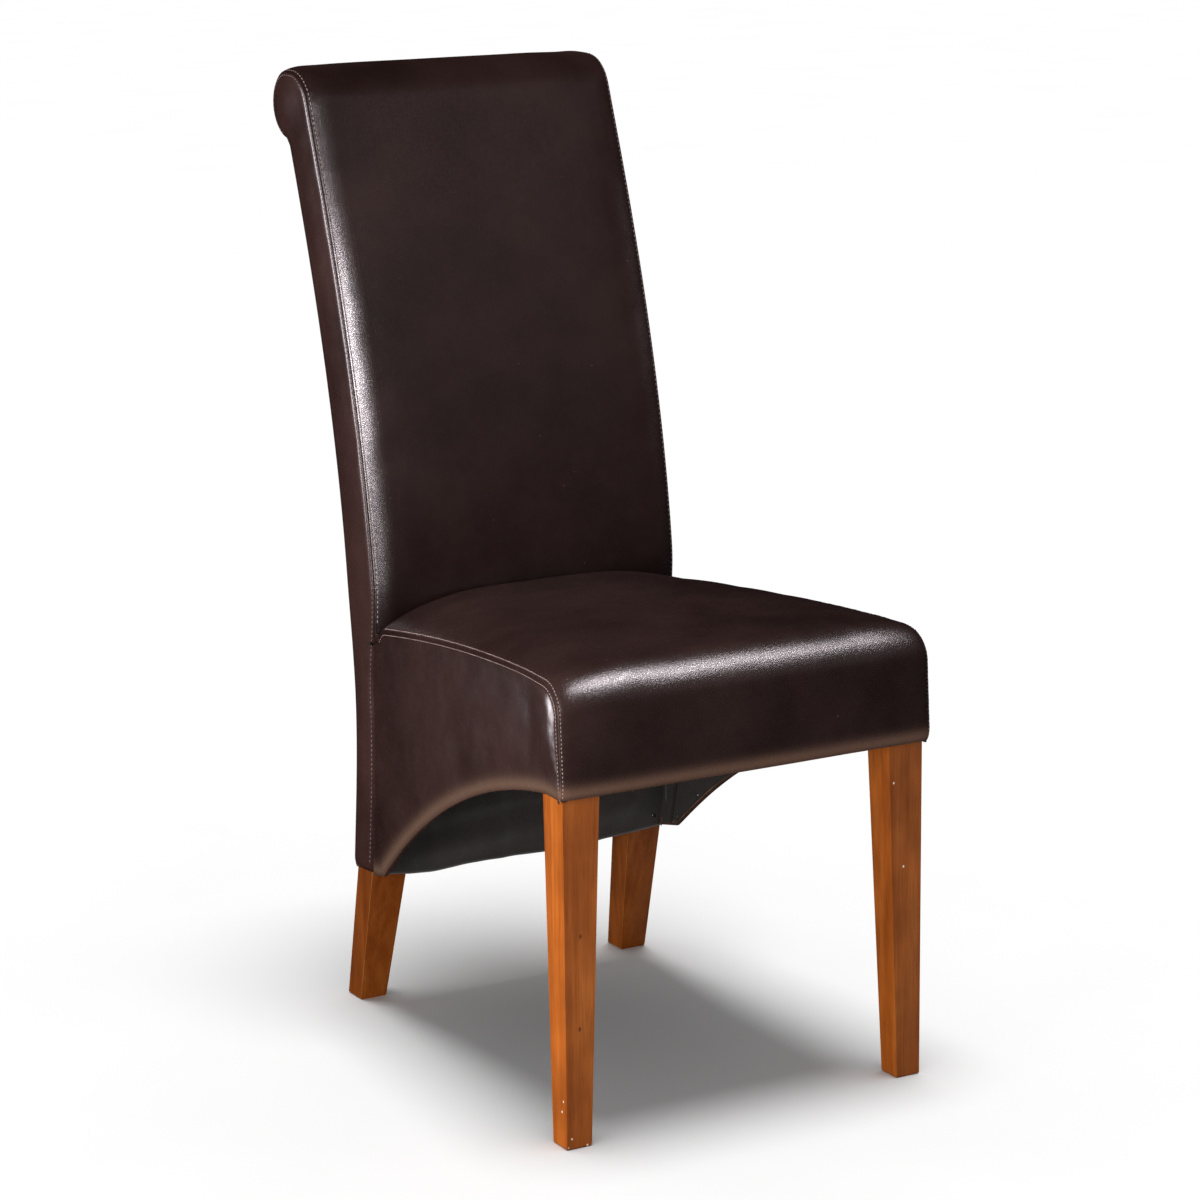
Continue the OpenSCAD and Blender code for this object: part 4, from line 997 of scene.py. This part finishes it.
def strap(centre, along, across, length, weave=0.0):
    """One woven strap as a grid: slack along its length, with selvedges that curl a little."""
    along, across = np.array(along, float), np.array(across, float)
    u, w = np.linspace(-1, 1, 81)[:, None, None], np.linspace(-1, 1, 9)[None, :, None]
    slack = -(2.2 * (1 - u**2) + weave * np.cos(u * pi * 3.6)) * smooth((1 - np.abs(u)) / 0.12)
    return (np.array(centre) + u * length / 2 * along + w * STRAP_W / 2 * across
            + (slack + 0.25 * w**2) * np.cross(along, across))


def straps(node, grids):
    verts, faces = [], []
    for points in grids:
        base = len(verts)
        verts += [tuple(q) for q in points.reshape(-1, 3)]
        faces += [tuple(base + k for k in f) for f in grid_faces(*points.shape[:2])]
    obj = new_object(node + "_straps", world(np.array(verts)), faces, STRAP)
    thicken(obj, 1.2, 0)
    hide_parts(node)
    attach(obj, "root")


strap_z, steps = RAIL_LOW + 50, (-1.5, -0.5, 0.5, 1.5)
straps("seat_webbing",
       [strap((70 * k, 255, strap_z + STRAP_T / 2), (0, 1, 0), (-1, 0, 0), 500, 0.4) for k in steps]
       + [strap((0, 243.5 + 100 * k, strap_z + 1.5 * STRAP_T), (1, 0, 0), (0, 1, 0),
                2 * float(side_x(268.5 + 100 * k, LINING_DEPTH + 1)), -0.4) for k in steps])
carried = node_points("back_webbing")
back_straps = []
for k in range(5):
    own = carried[np.abs(carried[:, 2] - (585.1 + 87.05 * k)) < 35]
    reach = own.max(axis=0) - own.min(axis=0)
    lean = atan2(reach[1] - STRAP_T, reach[2])
    back_straps.append(strap((own.max(axis=0) + own.min(axis=0)) / 2, (1, 0, 0),
                             (0, sin(lean), cos(lean)), reach[0]))
straps("back_webbing", back_straps)


def tacks(places):
    """Small domed heads; each place is (point, outward unit normal) in mm."""
    verts, faces = [], []
    profile = [(2.3, 0.0), (2.35, 0.25), (1.9, 0.75), (1.1, 1.1), (0.35, 1.22)]  # radius, height
    for centre, up in places:
        up = np.array(up, float)
        a = unit(np.cross(up, [0.3, 0.5, 0.81]))
        rings = [(np.array(centre) + up * h, r, a, np.cross(up, a)) for r, h in profile]
        add_tube(verts, faces, rings, 14)
    obj = new_object("lining_tacks", world(np.array(verts)), faces, STEEL)
    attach(obj, "root")


tacks([((hand * (float(side_x(y, LINING_DEPTH)) - 0.5), y, float(arch_z(y)) + 9), (-hand, 0, 0))
       for y in (100, 165, 230, 295, 360, 420, 462) for hand in (-1, 1)]
      + [((hand * 180, float(post_front_line(z)) - 1.3, z), (0, -1, 0))
         for z in (176, 236, 296, 352) for hand in (-1, 1)])

# -------- the wooden and steel pieces
LEGS = ["front_leg_left", "front_leg_right", "rear_leg_left", "rear_leg_right"]
CHERRY = np.array([(0.17, 0.04, 0.0048), (0.255, 0.066, 0.0072), (0.33, 0.1, 0.013)])
LEG_WOOD = wood_material(
    "leg_cherry", CHERRY,
    knots=[(-0.202, -0.3448, 0.23), (-0.204, -0.3448, 0.13), (0.179, -0.33, 0.262)],
    chips=[(-0.2203, -0.335, 0.04), (-0.215, -0.3445, 0.012), (0.1845, -0.3449, 0.335),
           (0.198, -0.345, 0.24), (-0.2203, -0.338, 0.052), (-0.219, -0.344, 0.003),
           (-0.1965, -0.3446, 0.002)])
# The rear legs' copy of the wood, darker as painted shade from the seat over them.
SHADED_REAR_WOOD = wood_material("leg_cherry_rear_painted_shade", CHERRY * [0.62, 0.6, 0.6],
                          knots=[(-0.18, 0.165, 0.1)])
# Lighter wood for the legs' rounded arrises: a painted highlight along the edges.
HIGHLIT_EDGE_WOOD = wood_material("leg_cherry_edge_painted_highlight",
                          ((0.36, 0.13, 0.022), (0.48, 0.2, 0.04), (0.6, 0.3, 0.08)))
for name in LEGS:
    leg = frame["nodes"][name]
    leg.data.materials.clear()
    leg.data.materials.append(SHADED_REAR_WOOD if "rear" in name else LEG_WOOD)
    leg.data.materials.append(HIGHLIT_EDGE_WOOD)
    weld = leg.modifiers.new("weld", "WELD")
    weld.merge_threshold = 0.00002
    # the bevels take the lighter edge wood, a painted highlight
    bevel = leg.modifiers.new("edges", "BEVEL")
    bevel.width, bevel.segments, bevel.limit_method = 0.0014, 3, "ANGLE"
    bevel.angle_limit, bevel.material = radians(35), 1  # HIGHLIT_EDGE_WOOD

for name, node in frame["nodes"].items():
    if node.hide_render or name in LEGS:
        continue
    steel = name in ("corner_screws", "leg_bolts", "leg_washers", "leg_nuts")
    thin = name in ("skirt_panel_left", "skirt_panel_right", "back_board")
    node.data.materials.clear()
    node.data.materials.append(STEEL if steel else BOARD if thin else FRAME_WOOD)


# -------- studio
def lamp(name, at, aim, energy, colour=(1, 1, 1), size=None):
    """A sun, or a rectangular lamp where a size is given."""
    light = bpy.data.lights.new(name, "AREA" if size else "SUN")
    light.energy, light.color = energy, colour
    if size:
        light.shape, light.size, light.size_y = "RECTANGLE", *size
    obj = put(name, light)
    obj.location, obj.rotation_mode = at, "QUATERNION"
    obj.rotation_quaternion = (Vector(aim) - Vector(at)).to_track_quat("-Z", "Y")
    return obj


def only(light, pieces):
    """The light reaches these pieces alone."""
    light.light_linking.receiver_collection = bpy.data.collections.new(light.name + "_lights")
    for piece in pieces:
        light.light_linking.receiver_collection.objects.link(piece)


def studio():
    """A white floor and sky, soft light, and softboxes that single pieces mirror as gleams."""
    corners = 60.0 * np.array([(-1, -1, 0), (1, -1, 0), (1, 1, 0), (-1, 1, 0)])
    m = Material("floor_white")
    paper = m.ramp(m.noise(m.at, 3.0, 3.0), (0.3, (0.86,) * 3), (0.7, (0.88,) * 3))
    white = m.shade({"Base Color": paper, "Roughness": 0.95, "Specular IOR Level": 0.1})
    floor = new_object("studio_floor", corners, [(0, 1, 2, 3)], white)

    scene = bpy.context.scene
    scene.view_settings.view_transform = "Standard"
    scene.world = sky = bpy.data.worlds.new("studio")
    sky.use_nodes = True
    sky.cycles_visibility.glossy = False
    w = Nodes(sky.node_tree)
    seen = w.add("LightPath", {})["Is Camera Ray"]
    w.feed(sky.node_tree.nodes["Background"],
           {0: (1.0, 1.0, 1.0, 1), 1: w.plus(w.times(seen, 0.64), 0.36)})

    ceiling = lamp("ceiling", (0.0, 0.0, 4.0), (0.0, 0.0, 0.0), 2.6)
    ceiling.data.angle = radians(26)
    ceiling.visible_glossy = floor.visible_glossy = False
    key = lamp("key_left", (-1.35, -0.85, 0.62), (-0.2, -0.2, 0.35), 15, (1.0, 0.95, 0.92),
               (0.35, 0.8))
    only(key, [o for o in bpy.data.objects if o.type == "MESH" and o is not floor])
    legs = lamp("key_legs", (-1.05, -0.45, 0.35), (-0.2, -0.2, 0.2), 9.5, (1.0, 0.95, 0.88),
                (0.3, 0.5))
    only(legs, [frame["nodes"][name] for name in LEGS])
    key.visible_camera = legs.visible_camera = False

    cool, warm = (0.96, 0.95, 1.0), (1.0, 0.92, 0.92)
    strip, side = strip_skins[0], side_skins[0]
    for name, at, aim, wide, tall, energy, colour, piece in (
            ("wall", (1.75, -3.7, 2.95), (0.1, 0, 0.8), 2.9, 3.3, 13, cool, seat),
            ("back_wall", (1.75, -3.7, 2.95), (0.1, 0, 0.8), 2.9, 3.3, 56, cool, back),
            ("rear_wall", (-1.3, 3.9, 2.6), (0, 0.3, 0.7), 2.4, 2.6, 14, cool, rear),
            ("upper", (2.4, -3.7, 4.2), (0, 0.26, 1.03), 1.6, 1.4, 14, warm, back),
            ("high", (1.8, -1.74, 4.0), (0, 0.27, 1.05), 1.6, 1.6, 5, warm, back),
            ("front_high", (-0.95, -3.7, 2.3), (-0.19, 0.17, 0.8), 1.3, 1.6, 58, cool, back),
            ("front_low", (-0.6, -3.7, 0.8), (-0.19, 0.14, 0.6), 1.4, 1.2, 38, cool, back),
            ("band_core", (-1.46, -3.3, 2.05), (-0.19, 0.17, 0.77), 2.1, 0.9, 250, cool, back),
            ("band_left", (-2.06, -0.9, 1.15), (-0.19, 0.17, 0.76), 1.6, 1.0, 210, cool, back),
            ("line_left", (-2.07, 0.8, 1.1), (-0.193, 0.18, 0.765), 1.1, 1.4, 85, cool, strip),
            ("corner", (-1.76, 0.95, 0.27), (-0.226, -0.338, 0.47), 0.55, 0.45, 25, cool, side),
            ("edge_left", (0.8, -1.2, 2.4), (0, -0.34, 0.5), 1.0, 0.9, 125, cool, seat),
            ("edge_right", (1.45, -0.9, 2.4), (0.1, -0.34, 0.5), 0.8, 0.8, 4, cool, seat)):
        light = lamp(name, at, aim, energy, colour, (wide, tall))
        only(light, [piece])
        light.visible_diffuse = light.visible_camera = False
    for name, at, aim, energy, piece in (
            ("seat_fill", (-0.75, -0.35, 0.8), (-0.1, -0.1, 0.5), 9, seat),
            ("strip_fill", (-1.7, 0.0, 0.7), (-0.19, 0.2, 0.6), 9, strip)):
        light = lamp(name, at, aim, energy, size=(0.8, 0.8))
        only(light, [piece])
        light.visible_glossy = light.visible_camera = False


def camera():
    """The photograph's camera, from a fit to the object's corners."""
    azimuth, pitch, roll = radians(-29.73), radians(13.04), radians(-0.64)
    target, distance = Vector((-0.01448, -0.065, 0.50611)), 4.10272
    focal, width = 3743.27, 1200  # in the photograph's pixels
    back_axis = Vector((sin(azimuth) * cos(pitch), -cos(azimuth) * cos(pitch),
                        sin(pitch)))
    right = Vector((cos(azimuth), sin(azimuth), 0))
    up = back_axis.cross(right)
    rolled_right = right * cos(roll) + up * sin(roll)
    rolled_up = up * cos(roll) - right * sin(roll)
    data = bpy.data.cameras.new("photo_camera")
    data.sensor_width, data.lens = 36.0, 36.0 * focal / width
    data.clip_start, data.clip_end = 0.05, 200
    cam = put("photo_camera", data)
    spin = Matrix((rolled_right, rolled_up, back_axis)).transposed().to_4x4()
    cam.matrix_world = Matrix.Translation(target + back_axis * distance) @ spin
    bpy.context.scene.camera = cam


studio()
camera()
